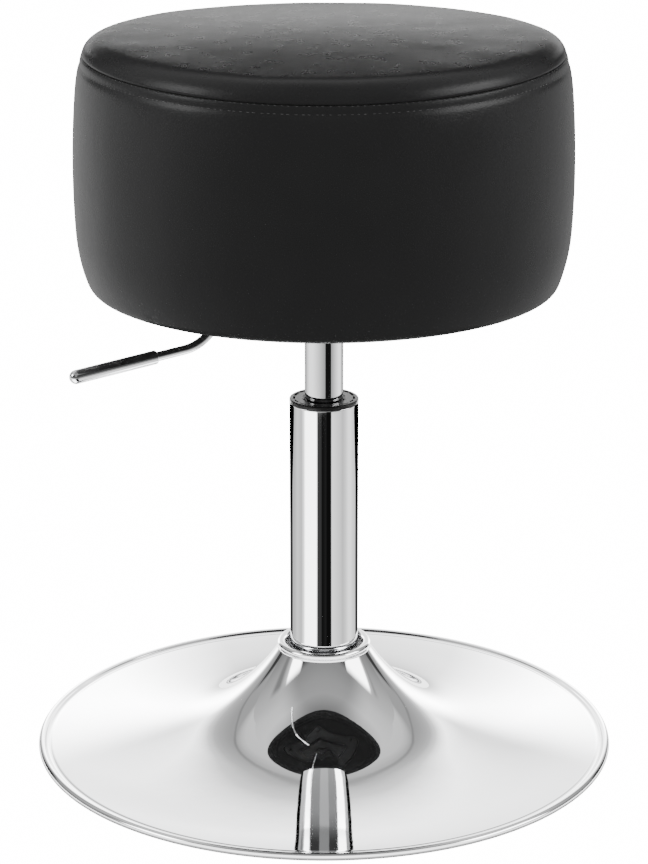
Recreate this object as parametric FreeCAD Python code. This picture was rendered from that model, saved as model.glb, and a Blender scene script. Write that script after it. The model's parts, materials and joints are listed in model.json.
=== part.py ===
import FreeCAD, Part
import math
import os

# Adjustable swivel stool. Millimetres, +Z up, the floor at zero, the column's axis on Z.
# The front of the stool faces -Y. Every height that follows is above the floor.

V = FreeCAD.Vector
ORIGIN = V(0, 0, 0)
UP = V(0, 0, 1)
FULL_TURN = 360.0
QUARTER_TURN = 90.0
EIGHTH_TURN = 45.0

# One overrun for every cutting tool, longer than any face that it passes
overrun = 3.0
# Air left between pieces that lie beside each other without touching
clear_gap = 0.3
# Radial running clearance of shafts and pistons in their bores
running_clearance = 0.05
# Radial clearance of pieces that are pressed or welded together
fitted_clearance = 0.02

# Seat: plywood drum, foam and cover. Its underside carries the lift, the lever and the plate
seat_underside_height = 354.3
seat_radius = 176.6
seat_side_height = 160.2
cover_thickness = 1.2
side_foam_thickness = 20.6
board_radius = seat_radius - side_foam_thickness
bottom_board_thickness = 15.0
drum_wall_thickness = 6.0
top_board_drop = 14.5
top_board_thickness = 12.0
vent_radius = 10.0
vent_count = 4
vent_circle_inset = 76.0
hem_inset = 17.0
dust_cover_inset = 5.0
dust_cover_thickness = 0.5
staple_inset = 10.0
staple_count = 24
staple_length = 10.0
staple_wire = 0.8

# Outline of the cover: each turn's inset from the widest radius, and its rise from the underside,
# its drop from the seam or its rise from the seam
foot_corner_inset = 16.2
foot_turn_inset = 12.7
foot_turn_rise = 1.4
foot_side_inset = 11.0
foot_side_rise = 4.9
low_side_inset = 5.0
low_side_rise = 19.2
side_start_inset = 1.3
side_start_rise = 40.7
widest_height_share = 0.5724
shoulder_low_inset = 2.2
shoulder_low_drop = 24.5
shoulder_mid_inset = 4.3
shoulder_mid_drop = 11.5
seam_inset = 8.0
seam_groove_depth = 1.0
seam_groove_width = 1.6
crown_turn_inset = 12.4
crown_turn_rise = 8.5
crown_edge_inset = 23.1
crown_edge_rise = 13.7
crown_dome_rise = 4.0
seam_height = seat_underside_height + seat_side_height
seam_radius = seat_radius - seam_inset
crown_edge_radius = seat_radius - crown_edge_inset
crown_top_height = seam_height + crown_edge_rise + crown_dome_rise
top_board_top_height = seam_height - top_board_drop
hem_inner_radius = board_radius - hem_inset

# Base: a pressed trumpet dish with a rolled bead at its rim and a rolled lip at its neck
base_radius = 213.0
base_wall = 1.6
bead_radius = 2.9
bead_lift = 0.6
rim_valley_depth = 0.7
rim_valley_width = 4.1
lip_radius = 3.1
lip_outer_radius = 34.6
lip_center_height = 77.0
lip_skirt = 3.0
lip_foot_angle = -40.0
neck_slope_angle = 57.0
rim_slope_angle = 4.5
bead_join_angle = 150.0
bead_under_angle = -60.0
bead_end_angle = -200.0
# Where the dish passes: share of the way out from the neck, share of the height left
dish_shares = [
    (0.055, 0.816),
    (0.145, 0.583),
    (0.250, 0.391),
    (0.360, 0.263),
    (0.480, 0.183),
    (0.640, 0.109),
    (0.820, 0.046),
]

# Socket under the dish, which holds the column in a taper
socket_bottom_height = 15.0
socket_top_inset = 1.0
socket_plate_thickness = 2.0
socket_plate_radius = 98.0
socket_plate_flange_turn = 3.0
socket_plate_hole_radius = 11.0
socket_plate_hole_circle_radius = 62.0
socket_plate_hole_count = 6

# Rubber ring inside the rim, which is all that touches the floor
floor_ring_inset = 16.0
floor_ring_width = 7.0
floor_ring_edge = 0.8

# Column: the fixed chrome tube
column_radius = 25.0
column_wall = 2.0
column_bottom_height = 18.0
column_top_height = 262.5
column_taper_height = 54.0
column_taper_inset = 0.7
column_mouth_round = 0.6

# Guide bush with the collar that shows at the column's mouth
collar_radius = 25.9
collar_height = 4.6
collar_round = 1.6
collar_groove_depth = 1.4
bush_length = 78.0
bush_inner_wall = 3.2
bush_outer_wall = 2.4
bush_pocket_count = 16
bush_rib_width = 1.8
bush_pocket_floor = 3.0

# Gas lift: cylinder, rod, piston and valve
cylinder_radius = 14.0
cylinder_wall = 2.0
cylinder_top_drop = 14.3
cylinder_length = 240.0
cylinder_top_height = seat_underside_height - cylinder_top_drop
cylinder_bottom_height = cylinder_top_height - cylinder_length
cylinder_cone_height = 28.0
cylinder_cone_inset = 0.7
cylinder_lip_width = 1.6
cylinder_lip_thickness = 1.2
guide_height = 16.0
guide_seal_height = 5.0
valve_height = 27.0
rod_radius = 5.0
rod_neck_radius = 4.0
rod_groove_radius = 3.2
rod_end_below_clip = 2.4
rod_end_chamfer = 0.6
piston_gap_above_guide = 4.0
piston_height = 13.0
piston_groove_depth = 1.8
piston_groove_height = 4.0
piston_nut_across_flats = 13.0
piston_nut_height = 5.0
rod_thread_above_nut = 1.5

# Thrust bearing on the plate that closes the column's foot
end_plate_thickness = 3.0
end_plate_height = 24.0
race_thickness = 1.5
race_radius = 13.0
ball_radius = 2.4
ball_circle_radius = 8.6
ball_count = 8
ball_air = 0.02
cage_thickness = 2.0
cage_radius = 12.2
cage_bore_air = 0.3
ball_pocket_air = 0.15
buffer_radius = 15.0
buffer_height = 8.0
buffer_waist = 1.6
clip_thickness = 1.2
clip_radius = 7.5
clip_mouth_width = 5.6
rod_washer_radius = 9.0
rod_washer_thickness = 1.4

# Travel of the lift upwards from the height shown
lift_up = 75.0

# Lever: its heading is measured from +X, its reaches from the column's axis, and its drops
# from the seat's underside
lever_heading = 210.0
lever_rod_radius = 3.4
lever_inner_reach = 1.5
lever_inner_drop = 3.2
lever_knee_reach = 77.0
lever_knee_drop = 13.5
lever_elbow_reach = 102.4
lever_elbow_drop = 35.0
lever_tip_reach = 201.1
lever_tip_drop = 43.8
lever_inner_height = seat_underside_height - lever_inner_drop
lever_knee_height = seat_underside_height - lever_knee_drop
lever_elbow_height = seat_underside_height - lever_elbow_drop
lever_tip_height = seat_underside_height - lever_tip_drop
lever_knee_bend = 16.0
lever_elbow_bend = 32.0
lever_pivot_reach = 47.0
grip_start_reach = 134.8
grip_radius = 4.95
grip_bore_air = 0.02
grip_edge_round = 0.8
lever_bush_wall = 1.6
lever_bush_flange = 1.4
lever_bush_flange_width = 2.2
lever_bush_length = 10.0
lever_bush_air = 0.4

# Release pin, the button on top of the cylinder
button_radius = 4.0
button_round = 0.8
button_to_lever_gap = 0.25
pin_radius = 2.4
pin_reach = 24.0
pin_travel = 3.4

# Seat plate, a pressed square plate with a sunken box and the cone socket
plate_side = 176.0
plate_corner = 22.0
plate_thickness = 2.5
plate_rim_depth = 6.0
box_side_top = 104.0
box_side_floor = 84.0
box_corner = 14.0
box_depth = 22.0
bolt_pitch = 140.0
slot_width = 9.0
slot_length = 16.0
cone_socket_wall = 5.0
cone_socket_drop = 37.3
cone_socket_above_floor = 5.0
cone_socket_chamfer = 1.2

# Fasteners that hold the plate to the bottom board
bolt_radius = 4.0
bolt_length = 24.0
bolt_head_across_flats = 13.0
bolt_head_height = 5.5
washer_radius = 9.0
washer_thickness = 1.6
tee_nut_barrel_radius = 5.2
tee_nut_barrel_length = 11.0
tee_nut_flange_radius = 11.0
tee_nut_flange_thickness = 1.4


def at(radius, height):
    """A point of a profile, which is drawn in the XZ plane."""
    return V(radius, 0, height)


def outline(start, *steps):
    """A closed wire in the XZ plane: ("line", end), ("arc", via, end) or ("curve", points, first, last)."""
    edges = []
    here = start
    for step in steps + (("line", start),):
        if step[0] == "line":
            end = step[1]
            if math.dist(here, end) > 0:
                edges.append(Part.LineSegment(at(*here), at(*end)).toShape())
        elif step[0] == "arc":
            end = step[2]
            edges.append(Part.Arc(at(*here), at(*step[1]), at(*end)).toShape())
        else:
            end = step[1][-1]
            edges.append(smooth_curve([here] + step[1], step[2], step[3]).toShape())
        here = end
    return Part.Wire(edges)


def smooth_curve(points, first_direction, last_direction):
    """A smooth curve through the points, which leaves and arrives in the given directions."""
    curve = Part.BSplineCurve()
    curve.interpolate(
        Points=[at(*p) for p in points],
        InitialTangent=at(*first_direction),
        FinalTangent=at(*last_direction),
    )
    return curve


def turned(wire):
    """The solid that a closed profile sweeps round the column's axis."""
    return Part.Face(wire).revolve(ORIGIN, UP, FULL_TURN)


def turned_polygon(points):
    """A turned solid with straight profile sides."""
    return turned(outline(points[0], *[("line", p) for p in points[1:]]))


def ring(outer, inner, low, high):
    """A plain ring or washer between two heights."""
    body = Part.makeCylinder(outer, high - low, at(0, low))
    return body.cut(Part.makeCylinder(inner, high - low + 2 * overrun, at(0, low - overrun)))


def on_circle(shape, count, first_angle=0.0):
    """Copies of a shape, evenly spaced round the column's axis."""
    copies = []
    for index in range(count):
        copy = shape.copy()
        copy.rotate(ORIGIN, UP, first_angle + index * FULL_TURN / count)
        copies.append(copy)
    return copies


def polar(center, radius, angle):
    """A profile point on a circle, with its angle in degrees from outwards."""
    turn = math.radians(angle)
    return (center[0] + radius * math.cos(turn), center[1] + radius * math.sin(turn))


def along_lever(shape):
    """Turns a piece that was built along +X to the lever's heading."""
    shape.rotate(ORIGIN, UP, lever_heading)
    return shape


def rounded_square(side, corner, height):
    """A square wire with round corners, centred on the axis, at one height."""
    half = side / 2
    inner = half - corner
    edges = []
    for index in range(4):
        quarter = FreeCAD.Rotation(UP, index * QUARTER_TURN)
        start = quarter.multVec(V(half, -inner, 0)) + V(0, 0, height)
        end = quarter.multVec(V(half, inner, 0)) + V(0, 0, height)
        bend = math.radians(QUARTER_TURN) / 2
        middle = V(inner + corner * math.cos(bend), inner + corner * math.sin(bend), 0)
        via = quarter.multVec(middle) + V(0, 0, height)
        turn_end = quarter.multVec(V(inner, half, 0)) + V(0, 0, height)
        edges.append(Part.LineSegment(start, end).toShape())
        edges.append(Part.Arc(end, via, turn_end).toShape())
    return Part.Wire(edges)


def square_prism(side, corner, low, high):
    """A flat square block with round corners."""
    return Part.Face(rounded_square(side, corner, low)).extrude(V(0, 0, high - low))


def hexagon(across_flats, low, height):
    """A hexagonal prism whose top edges are turned down, as on a bolt head."""
    radius = across_flats / math.sqrt(3)
    corners = [polar((0, 0), radius, index * FULL_TURN / 6) for index in range(7)]
    face = Part.Face(Part.makePolygon([V(x, y, low) for x, y in corners]))
    prism = face.extrude(V(0, 0, height))
    slope = radius - across_flats / 2
    turned_down = Part.makeCylinder(radius, height - slope, V(0, 0, low))
    turned_down = turned_down.fuse(
        Part.makeCone(radius, across_flats / 2, slope, V(0, 0, low + height - slope))
    )
    return prism.common(turned_down)


# Base

def bead_center():
    return (base_radius - bead_radius, bead_lift + bead_radius)


def lip_center():
    return (lip_outer_radius - lip_radius, lip_center_height)


def dish_curve(depth):
    """The dish between its neck and its rim, that depth below the outer face."""
    lip_foot = polar(lip_center(), lip_radius, lip_foot_angle)
    bead_foot = polar(bead_center(), bead_radius, bead_join_angle)
    rim = (bead_foot[0] - rim_valley_width, bead_foot[1] - rim_valley_depth)
    reach = rim[0] - lip_foot[0]
    fall = lip_foot[1] - rim[1]
    points = [lip_foot]
    for out_share, height_share in dish_shares:
        points.append((lip_foot[0] + out_share * reach, rim[1] + height_share * fall))
    points.append(rim)
    neck_turn = math.radians(-neck_slope_angle)
    rim_turn = math.radians(-rim_slope_angle)
    first = (math.cos(neck_turn), math.sin(neck_turn))
    last = (math.cos(rim_turn), math.sin(rim_turn))
    outer = smooth_curve(points, first, last)
    if depth == 0:
        return outer, points, first, last
    inner_points = []
    for point in points:
        along = outer.tangent(outer.parameter(at(*point)))[0]
        inner_points.append((point[0] + depth * along.z, point[1] - depth * along.x))
    return smooth_curve(inner_points, first, last), inner_points, first, last


def height_on(curve, radius):
    """The height of a dish curve at one radius, found by halving its span."""
    low, high = curve.FirstParameter, curve.LastParameter
    for _ in range(50):
        middle = (low + high) / 2
        if curve.value(middle).x < radius:
            low = middle
        else:
            high = middle
    return curve.value(low).z


def base_shell():
    """The pressed dish as one sheet, from the lip rolled into its neck to the bead rolled at its rim."""
    _, outer, first, last = dish_curve(0)
    _, inner, _, _ = dish_curve(base_wall)
    lip, bead = lip_center(), bead_center()
    lip_inside = lip_radius - base_wall
    bead_inside = bead_radius - base_wall
    over_bead = (bead_join_angle + bead_under_angle) / 2
    under_bead = (bead_under_angle + bead_end_angle) / 2
    bead_foot = polar(bead, bead_radius, bead_join_angle)
    bead_foot_inside = polar(bead, bead_inside, bead_join_angle)
    rim, rim_inside = outer[-1], inner[-1]
    valley = ((rim[0] + bead_foot[0]) / 2, rim[1] - rim_valley_depth / 4)
    valley_inside = (valley[0], valley[1] - base_wall)
    back = ("curve", inner[-2::-1], (-last[0], -last[1]), (-first[0], -first[1]))
    return turned(outline(
        (lip[0] - lip_radius, lip[1] - lip_skirt),
        ("line", (lip[0] - lip_radius, lip[1])),
        ("arc", (lip[0], lip[1] + lip_radius), outer[0]),
        ("curve", outer[1:], first, last),
        ("arc", valley, bead_foot),
        ("arc", polar(bead, bead_radius, over_bead), polar(bead, bead_radius, bead_under_angle)),
        ("arc", polar(bead, bead_radius, under_bead), polar(bead, bead_radius, bead_end_angle)),
        ("line", polar(bead, bead_inside, bead_end_angle)),
        ("arc", polar(bead, bead_inside, under_bead), polar(bead, bead_inside, bead_under_angle)),
        ("arc", polar(bead, bead_inside, over_bead), bead_foot_inside),
        ("arc", valley_inside, rim_inside),
        back,
        ("line", polar(lip, lip_inside, lip_foot_angle)),
        ("arc", (lip[0], lip[1] + lip_inside), (lip[0] - lip_inside, lip[1])),
        ("line", (lip[0] - lip_inside, lip[1] - lip_skirt)),
    ))


def column_outer_radius(height):
    """The column's radius, which narrows in a straight taper towards its foot."""
    taper_top = column_bottom_height + column_taper_height
    share = min(1, max(0, (taper_top - height) / column_taper_height))
    return column_radius - column_taper_inset * share


def socket_outer_radius():
    return lip_outer_radius - 2 * lip_radius - clear_gap


def base_socket():
    top = lip_center_height - socket_top_inset
    taper_top = column_bottom_height + column_taper_height
    foot = column_bottom_height + clear_gap
    return turned_polygon([
        (socket_outer_radius(), socket_bottom_height),
        (socket_outer_radius(), top),
        (column_radius + fitted_clearance, top),
        (column_radius + fitted_clearance, taper_top),
        (column_outer_radius(foot) + fitted_clearance, foot),
        (column_outer_radius(foot) + fitted_clearance, socket_bottom_height),
    ])


def socket_plate():
    """The stiffening plate: flat round the socket, turned up to meet the dish at its rim."""
    under_dish, _, _, _ = dish_curve(base_wall)
    low = socket_bottom_height
    high = low + socket_plate_thickness
    edge = socket_plate_radius
    turn = socket_plate_flange_turn
    top = height_on(under_dish, edge) - fitted_clearance
    bore = socket_outer_radius() + fitted_clearance
    inside = edge - socket_plate_thickness
    inner_turn = turn - socket_plate_thickness
    bend = math.radians(QUARTER_TURN) / 2
    outer_via = (edge - turn * (1 - math.sin(bend)), low + turn * (1 - math.cos(bend)))
    inner_via = (inside - inner_turn * (1 - math.sin(bend)), high + inner_turn * (1 - math.cos(bend)))
    plate = turned(outline(
        (bore, low),
        ("line", (edge - turn, low)),
        ("arc", outer_via, (edge, low + turn)),
        ("line", (edge, top)),
        ("line", (inside, top)),
        ("line", (inside, high + inner_turn)),
        ("arc", inner_via, (inside - inner_turn, high)),
        ("line", (bore, high)),
    ))
    hole = Part.makeCylinder(
        socket_plate_hole_radius,
        socket_plate_thickness + 2 * overrun,
        V(socket_plate_hole_circle_radius, 0, low - overrun),
    )
    for cutter in on_circle(hole, socket_plate_hole_count, FULL_TURN / socket_plate_hole_count / 2):
        plate = plate.cut(cutter)
    return plate


def floor_ring():
    """The rubber ring: flat on the floor, its top follows the dish above it."""
    under_dish, _, _, _ = dish_curve(base_wall)
    inner = base_radius - floor_ring_inset
    outer = inner + floor_ring_width
    edge = floor_ring_edge
    inner_top = height_on(under_dish, inner) - fitted_clearance
    outer_top = height_on(under_dish, outer - edge) - fitted_clearance
    return turned_polygon([
        (inner + edge, 0),
        (outer - edge, 0),
        (outer, edge),
        (outer, outer_top - edge / 2),
        (outer - edge, outer_top),
        (inner, inner_top),
        (inner, edge),
    ])


# Column

def column_tube():
    foot = column_outer_radius(column_bottom_height)
    taper_top = column_bottom_height + column_taper_height
    bore = column_radius - column_wall
    mouth = column_mouth_round
    top = column_top_height
    bend = (column_radius - mouth, top - mouth)
    return turned(outline(
        (foot, column_bottom_height),
        ("line", (column_radius, taper_top)),
        ("line", (column_radius, top - mouth)),
        ("arc", polar(bend, mouth, EIGHTH_TURN), (column_radius - mouth, top)),
        ("line", (bore, top)),
        ("line", (bore, taper_top)),
        ("line", (foot - column_wall, column_bottom_height)),
    ))


def collar_top():
    return column_top_height + collar_height


def guide_bush():
    """The plastic sleeve: two walls joined by ribs, with the collar that rests on the tube's mouth."""
    top = collar_top()
    low = column_top_height - bush_length
    bore = cylinder_radius + running_clearance
    sleeve = column_radius - column_wall - fitted_clearance
    bend = collar_round
    body = turned(outline(
        (bore, low),
        ("line", (sleeve, low)),
        ("line", (sleeve, column_top_height)),
        ("line", (collar_radius, column_top_height)),
        ("line", (collar_radius, top - bend)),
        ("arc", polar((collar_radius - bend, top - bend), bend, EIGHTH_TURN), (collar_radius - bend, top)),
        ("line", (sleeve, top)),
        ("line", (sleeve - collar_groove_depth, top - collar_groove_depth)),
        ("line", (bore + bush_inner_wall, top - collar_groove_depth)),
        ("line", (bore + bush_inner_wall, top)),
        ("line", (bore, top)),
    ))
    inner = bore + bush_inner_wall
    outer = sleeve - bush_outer_wall
    pocket_low = low + bush_pocket_floor
    pocket = ring(outer, inner, pocket_low, top + overrun)
    half_angle = FULL_TURN / bush_pocket_count / 2
    half_width = outer * math.tan(math.radians(half_angle)) - bush_rib_width / 2
    wedge = Part.Face(Part.makePolygon([
        V(bush_rib_width / 2 / math.sin(math.radians(half_angle)), 0, pocket_low),
        V(outer + overrun, -half_width * (outer + overrun) / outer, pocket_low),
        V(outer + overrun, half_width * (outer + overrun) / outer, pocket_low),
        V(bush_rib_width / 2 / math.sin(math.radians(half_angle)), 0, pocket_low),
    ])).extrude(V(0, 0, top + overrun - pocket_low))
    slot = pocket.common(wedge)
    for cutter in on_circle(slot, bush_pocket_count):
        body = body.cut(cutter)
    return body


def column_end_plate():
    low = end_plate_height
    high = low + end_plate_thickness
    return turned_polygon([
        (rod_neck_radius + clear_gap, low),
        (column_outer_radius(low) - column_wall - fitted_clearance, low),
        (column_outer_radius(high) - column_wall - fitted_clearance, high),
        (rod_neck_radius + clear_gap, high),
    ])


# Thrust bearing and rod

def lower_race_top():
    return end_plate_height + end_plate_thickness + race_thickness


def upper_race_low():
    return lower_race_top() + 2 * ball_radius + 2 * ball_air


def shoulder_height():
    return upper_race_low() + race_thickness


def lower_thrust_washer():
    low = end_plate_height + end_plate_thickness
    return ring(race_radius, rod_neck_radius + clear_gap, low, lower_race_top())


def upper_thrust_washer():
    return ring(race_radius, rod_neck_radius + fitted_clearance, upper_race_low(), shoulder_height())


def ball_middle():
    return lower_race_top() + ball_radius + ball_air


def thrust_balls():
    ball = Part.makeSphere(ball_radius, V(ball_circle_radius, 0, ball_middle()))
    return Part.makeCompound(on_circle(ball, ball_count))


def thrust_cage():
    low = ball_middle() - cage_thickness / 2
    cage = ring(cage_radius, rod_neck_radius + cage_bore_air, low, low + cage_thickness)
    pocket = Part.makeCylinder(
        ball_radius + ball_pocket_air,
        cage_thickness + 2 * overrun,
        V(ball_circle_radius, 0, low - overrun),
    )
    for cutter in on_circle(pocket, ball_count):
        cage = cage.cut(cutter)
    return cage


def rod_washer_low():
    return end_plate_height - clear_gap - rod_washer_thickness


def rod_washer():
    low = rod_washer_low()
    return ring(rod_washer_radius, rod_neck_radius + fitted_clearance, low, low + rod_washer_thickness)


def clip_low():
    return rod_washer_low() - clip_thickness


def rod_clip():
    """The open spring clip that sits in the rod's groove."""
    clip = ring(clip_radius, rod_groove_radius + fitted_clearance, clip_low(), rod_washer_low())
    mouth = Part.makeBox(
        clip_radius + overrun,
        clip_mouth_width,
        clip_thickness + 2 * overrun,
        V(0, -clip_mouth_width / 2, clip_low() - overrun),
    )
    return clip.cut(mouth)


def guide_top():
    return cylinder_bottom_height + cylinder_lip_thickness + guide_height


def piston_low():
    return guide_top() + lift_up + piston_gap_above_guide


def piston_rod():
    foot = clip_low() - rod_end_below_clip
    neck = rod_neck_radius
    groove_top = rod_washer_low()
    nut_top = piston_low() + piston_height + piston_nut_height
    return turned_polygon([
        (0, foot),
        (neck - rod_end_chamfer, foot),
        (neck, foot + rod_end_chamfer),
        (neck, clip_low()),
        (rod_groove_radius, clip_low()),
        (rod_groove_radius, groove_top),
        (neck, groove_top),
        (neck, shoulder_height()),
        (rod_radius, shoulder_height()),
        (rod_radius, piston_low()),
        (neck, piston_low()),
        (neck, nut_top + rod_thread_above_nut - rod_end_chamfer),
        (neck - rod_end_chamfer, nut_top + rod_thread_above_nut),
        (0, nut_top + rod_thread_above_nut),
    ])


def buffer_ring():
    """The rubber stop, waisted so that it folds when the seat comes down on it."""
    low = shoulder_height()
    high = low + buffer_height
    middle = (low + high) / 2
    return turned(outline(
        (rod_radius + fitted_clearance, low),
        ("line", (buffer_radius, low)),
        ("arc", (buffer_radius - buffer_waist, middle), (buffer_radius, high)),
        ("line", (rod_radius + fitted_clearance, high)),
    ))


def cylinder_bore():
    return cylinder_radius - cylinder_wall


def piston_groove_low():
    return piston_low() + (piston_height - piston_groove_height) / 2


def piston():
    low = piston_low()
    high = low + piston_height
    outer = cylinder_bore() - running_clearance
    bore = rod_neck_radius + fitted_clearance
    groove_low = piston_groove_low()
    groove_high = groove_low + piston_groove_height
    return turned_polygon([
        (bore, low),
        (outer, low),
        (outer, groove_low),
        (outer - piston_groove_depth, groove_low),
        (outer - piston_groove_depth, groove_high),
        (outer, groove_high),
        (outer, high),
        (bore, high),
    ])


def piston_seal():
    outer = cylinder_bore() - running_clearance
    low = piston_groove_low() + fitted_clearance
    high = piston_groove_low() + piston_groove_height - fitted_clearance
    return ring(outer, outer - piston_groove_depth + fitted_clearance, low, high)


def piston_nut():
    low = piston_low() + piston_height
    nut = hexagon(piston_nut_across_flats, low, piston_nut_height)
    bore = Part.makeCylinder(
        rod_neck_radius + fitted_clearance,
        piston_nut_height + 2 * overrun,
        at(0, low - overrun),
    )
    return nut.cut(bore)


# Gas cylinder

def cone_start():
    return cylinder_top_height - cylinder_cone_height


def gas_cylinder():
    """The chrome cylinder: straight bore, tapered top and a lip rolled in at each end."""
    low, high = cylinder_bottom_height, cylinder_top_height
    outer, bore = cylinder_radius, cylinder_bore()
    top_outer = outer - cylinder_cone_inset
    lip_bore = bore - cylinder_lip_width
    lip = cylinder_lip_thickness
    bend = lip
    return turned(outline(
        (lip_bore, low),
        ("line", (outer - bend, low)),
        ("arc", polar((outer - bend, low + bend), bend, -EIGHTH_TURN), (outer, low + bend)),
        ("line", (outer, cone_start())),
        ("line", (top_outer, high - bend)),
        ("arc", polar((top_outer - bend, high - bend), bend, EIGHTH_TURN), (top_outer - bend, high)),
        ("line", (lip_bore, high)),
        ("line", (lip_bore, high - lip)),
        ("line", (bore, high - lip)),
        ("line", (bore, low + lip)),
        ("line", (lip_bore, low + lip)),
    ))


def cylinder_end_guide():
    low = cylinder_bottom_height + cylinder_lip_thickness
    high = guide_top() - guide_seal_height
    return ring(cylinder_bore() - fitted_clearance, rod_radius + running_clearance, low, high)


def rod_seal():
    low = guide_top() - guide_seal_height
    return turned(outline(
        (rod_radius + running_clearance, low),
        ("line", (cylinder_bore() - fitted_clearance, low)),
        ("line", (cylinder_bore() - fitted_clearance, guide_top())),
        ("line", (rod_radius + guide_seal_height / 2, guide_top())),
        ("line", (rod_radius + running_clearance, guide_top() - guide_seal_height / 4)),
    ))


def valve_body():
    high = cylinder_top_height - cylinder_lip_thickness
    low = high - valve_height
    outer = cylinder_bore() - fitted_clearance
    bore = pin_radius + running_clearance
    step = cylinder_bore() - cylinder_lip_width - fitted_clearance
    return turned_polygon([
        (bore, low),
        (outer - cylinder_wall, low),
        (outer, low + cylinder_wall),
        (outer, high),
        (step, high),
        (step, cylinder_top_height),
        (bore, cylinder_top_height),
    ])


def button_top():
    slope = (lever_inner_height - lever_knee_height) / lever_knee_reach
    under_rod = lever_inner_height - lever_rod_radius * math.sqrt(1 + slope * slope)
    return under_rod - button_radius * slope - button_to_lever_gap


def release_pin():
    """The valve's pin and the wider button on top of it, clear of the cylinder when pressed."""
    top = button_top()
    neck = cylinder_top_height + pin_travel + clear_gap
    foot = cylinder_top_height - pin_reach
    bend = button_round
    return turned(outline(
        (0, foot),
        ("line", (pin_radius, foot)),
        ("line", (pin_radius, neck)),
        ("line", (button_radius, neck)),
        ("line", (button_radius, top - bend)),
        ("arc", polar((button_radius - bend, top - bend), bend, EIGHTH_TURN), (button_radius - bend, top)),
        ("line", (0, top)),
    ))


# Seat plate

def plate_top():
    return seat_underside_height + cover_thickness - dust_cover_thickness


def box_floor_low():
    return plate_top() - plate_thickness - box_depth


def box_solid(inset, low, high):
    """The sunken box as a tapered block, drawn in on every side by inset."""
    full = plate_top() - plate_thickness
    slope = (box_side_top - box_side_floor) / (full - box_floor_low())
    sides = [box_side_floor + slope * (z - box_floor_low()) - 2 * inset for z in (low, high)]
    corner = box_corner - inset
    wires = [rounded_square(side, corner, z) for side, z in zip(sides, (low, high))]
    return Part.makeLoft(wires, True, True)


def pivot_height():
    """The lever rod's own height where it passes through the box wall."""
    share = lever_pivot_reach / lever_knee_reach
    return lever_inner_height + share * (lever_knee_height - lever_inner_height)


def seat_plate():
    """The pressed plate: flat flange with a turned-down rim, sunken box, windows and slots."""
    high = plate_top()
    flange_low = high - plate_thickness
    wall = plate_thickness
    rim_low = high - plate_rim_depth
    plate = square_prism(plate_side, plate_corner, rim_low, high)
    inside = square_prism(plate_side - 2 * wall, plate_corner - wall, rim_low - overrun, flange_low)
    plate = plate.cut(inside)
    plate = plate.fuse(box_solid(0, box_floor_low(), flange_low))
    plate = plate.cut(box_solid(wall, box_floor_low() + wall, high + overrun))
    plate = plate.cut(lever_window())
    socket_hole = Part.makeCylinder(
        cone_socket_radius() + fitted_clearance,
        wall + 2 * overrun,
        at(0, box_floor_low() - overrun),
    )
    plate = plate.cut(socket_hole)
    for x in (-bolt_pitch / 2, bolt_pitch / 2):
        for y in (-bolt_pitch / 2, bolt_pitch / 2):
            plate = plate.cut(slot_cutter(x, y, flange_low - overrun, wall + 2 * overrun))
    return along_lever(plate)


def lever_window():
    """The round hole in the box wall that the lever's bush sits in."""
    reach = plate_thickness + overrun
    radius = lever_bush_radius() + fitted_clearance
    return at_pivot(Part.makeCylinder(radius, 2 * reach, at(0, -reach)))


def slot_cutter(x, y, low, height):
    """A round-ended slot that lies along X."""
    straight = slot_length - slot_width
    radius = slot_width / 2
    cutter = Part.makeBox(straight, slot_width, height, V(x - straight / 2, y - radius, low))
    for end in (-straight / 2, straight / 2):
        cutter = cutter.fuse(Part.makeCylinder(radius, height, V(x + end, y, low)))
    return cutter


def cone_socket_radius():
    return cylinder_radius + cone_socket_wall


def cone_bore(height):
    """The radius of the cylinder's taper at one height."""
    share = (height - cone_start()) / (cylinder_cone_height - cylinder_lip_thickness)
    return cylinder_radius - cylinder_cone_inset * max(0, share) + fitted_clearance


def cone_socket():
    low = seat_underside_height - cone_socket_drop
    high = box_floor_low() + plate_thickness + cone_socket_above_floor
    outer = cone_socket_radius()
    chamfer = cone_socket_chamfer
    return turned_polygon([
        (cone_bore(low), low),
        (outer - chamfer, low),
        (outer, low + chamfer),
        (outer, high - chamfer),
        (outer - chamfer, high),
        (cone_bore(high), high),
    ])


# Lever

def lever_slope(first, last):
    return math.atan2(last[1] - first[1], last[0] - first[0])


def bent_rod(points, bends, radius):
    """A round rod along straight runs with an arc of the given radius at each inner point."""
    edges = []
    here = V(points[0][0], 0, points[0][1])
    for index, bend in enumerate(bends):
        corner = V(points[index + 1][0], 0, points[index + 1][1])
        before = V(points[index][0], 0, points[index][1]) - corner
        after = V(points[index + 2][0], 0, points[index + 2][1]) - corner
        before.normalize()
        after.normalize()
        half = before.getAngle(after) / 2
        trim = bend / math.tan(half)
        arc_start = corner + before * trim
        arc_end = corner + after * trim
        middle = before + after
        middle.normalize()
        via = corner + middle * (bend / math.sin(half) - bend)
        edges.append(Part.LineSegment(here, arc_start).toShape())
        edges.append(Part.Arc(arc_start, via, arc_end).toShape())
        here = arc_end
    edges.append(Part.LineSegment(here, V(points[-1][0], 0, points[-1][1])).toShape())
    path = Part.Wire(edges)
    start = V(points[0][0], 0, points[0][1])
    heading = V(points[1][0], 0, points[1][1]) - start
    circle = Part.Wire(Part.makeCircle(radius, start, heading))
    return path.makePipeShell([circle], True, False)


def lever_points():
    slope = (lever_inner_height - lever_knee_height) / lever_knee_reach
    start = (-lever_inner_reach, lever_inner_height + slope * lever_inner_reach)
    knee = (lever_knee_reach, lever_knee_height)
    elbow = (lever_elbow_reach, lever_elbow_height)
    return [start, knee, elbow]


def grip_line(reach):
    """The point of the lever's outer run at one reach."""
    share = (reach - lever_elbow_reach) / (lever_tip_reach - lever_elbow_reach)
    return (reach, lever_elbow_height + share * (lever_tip_height - lever_elbow_height))


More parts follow.
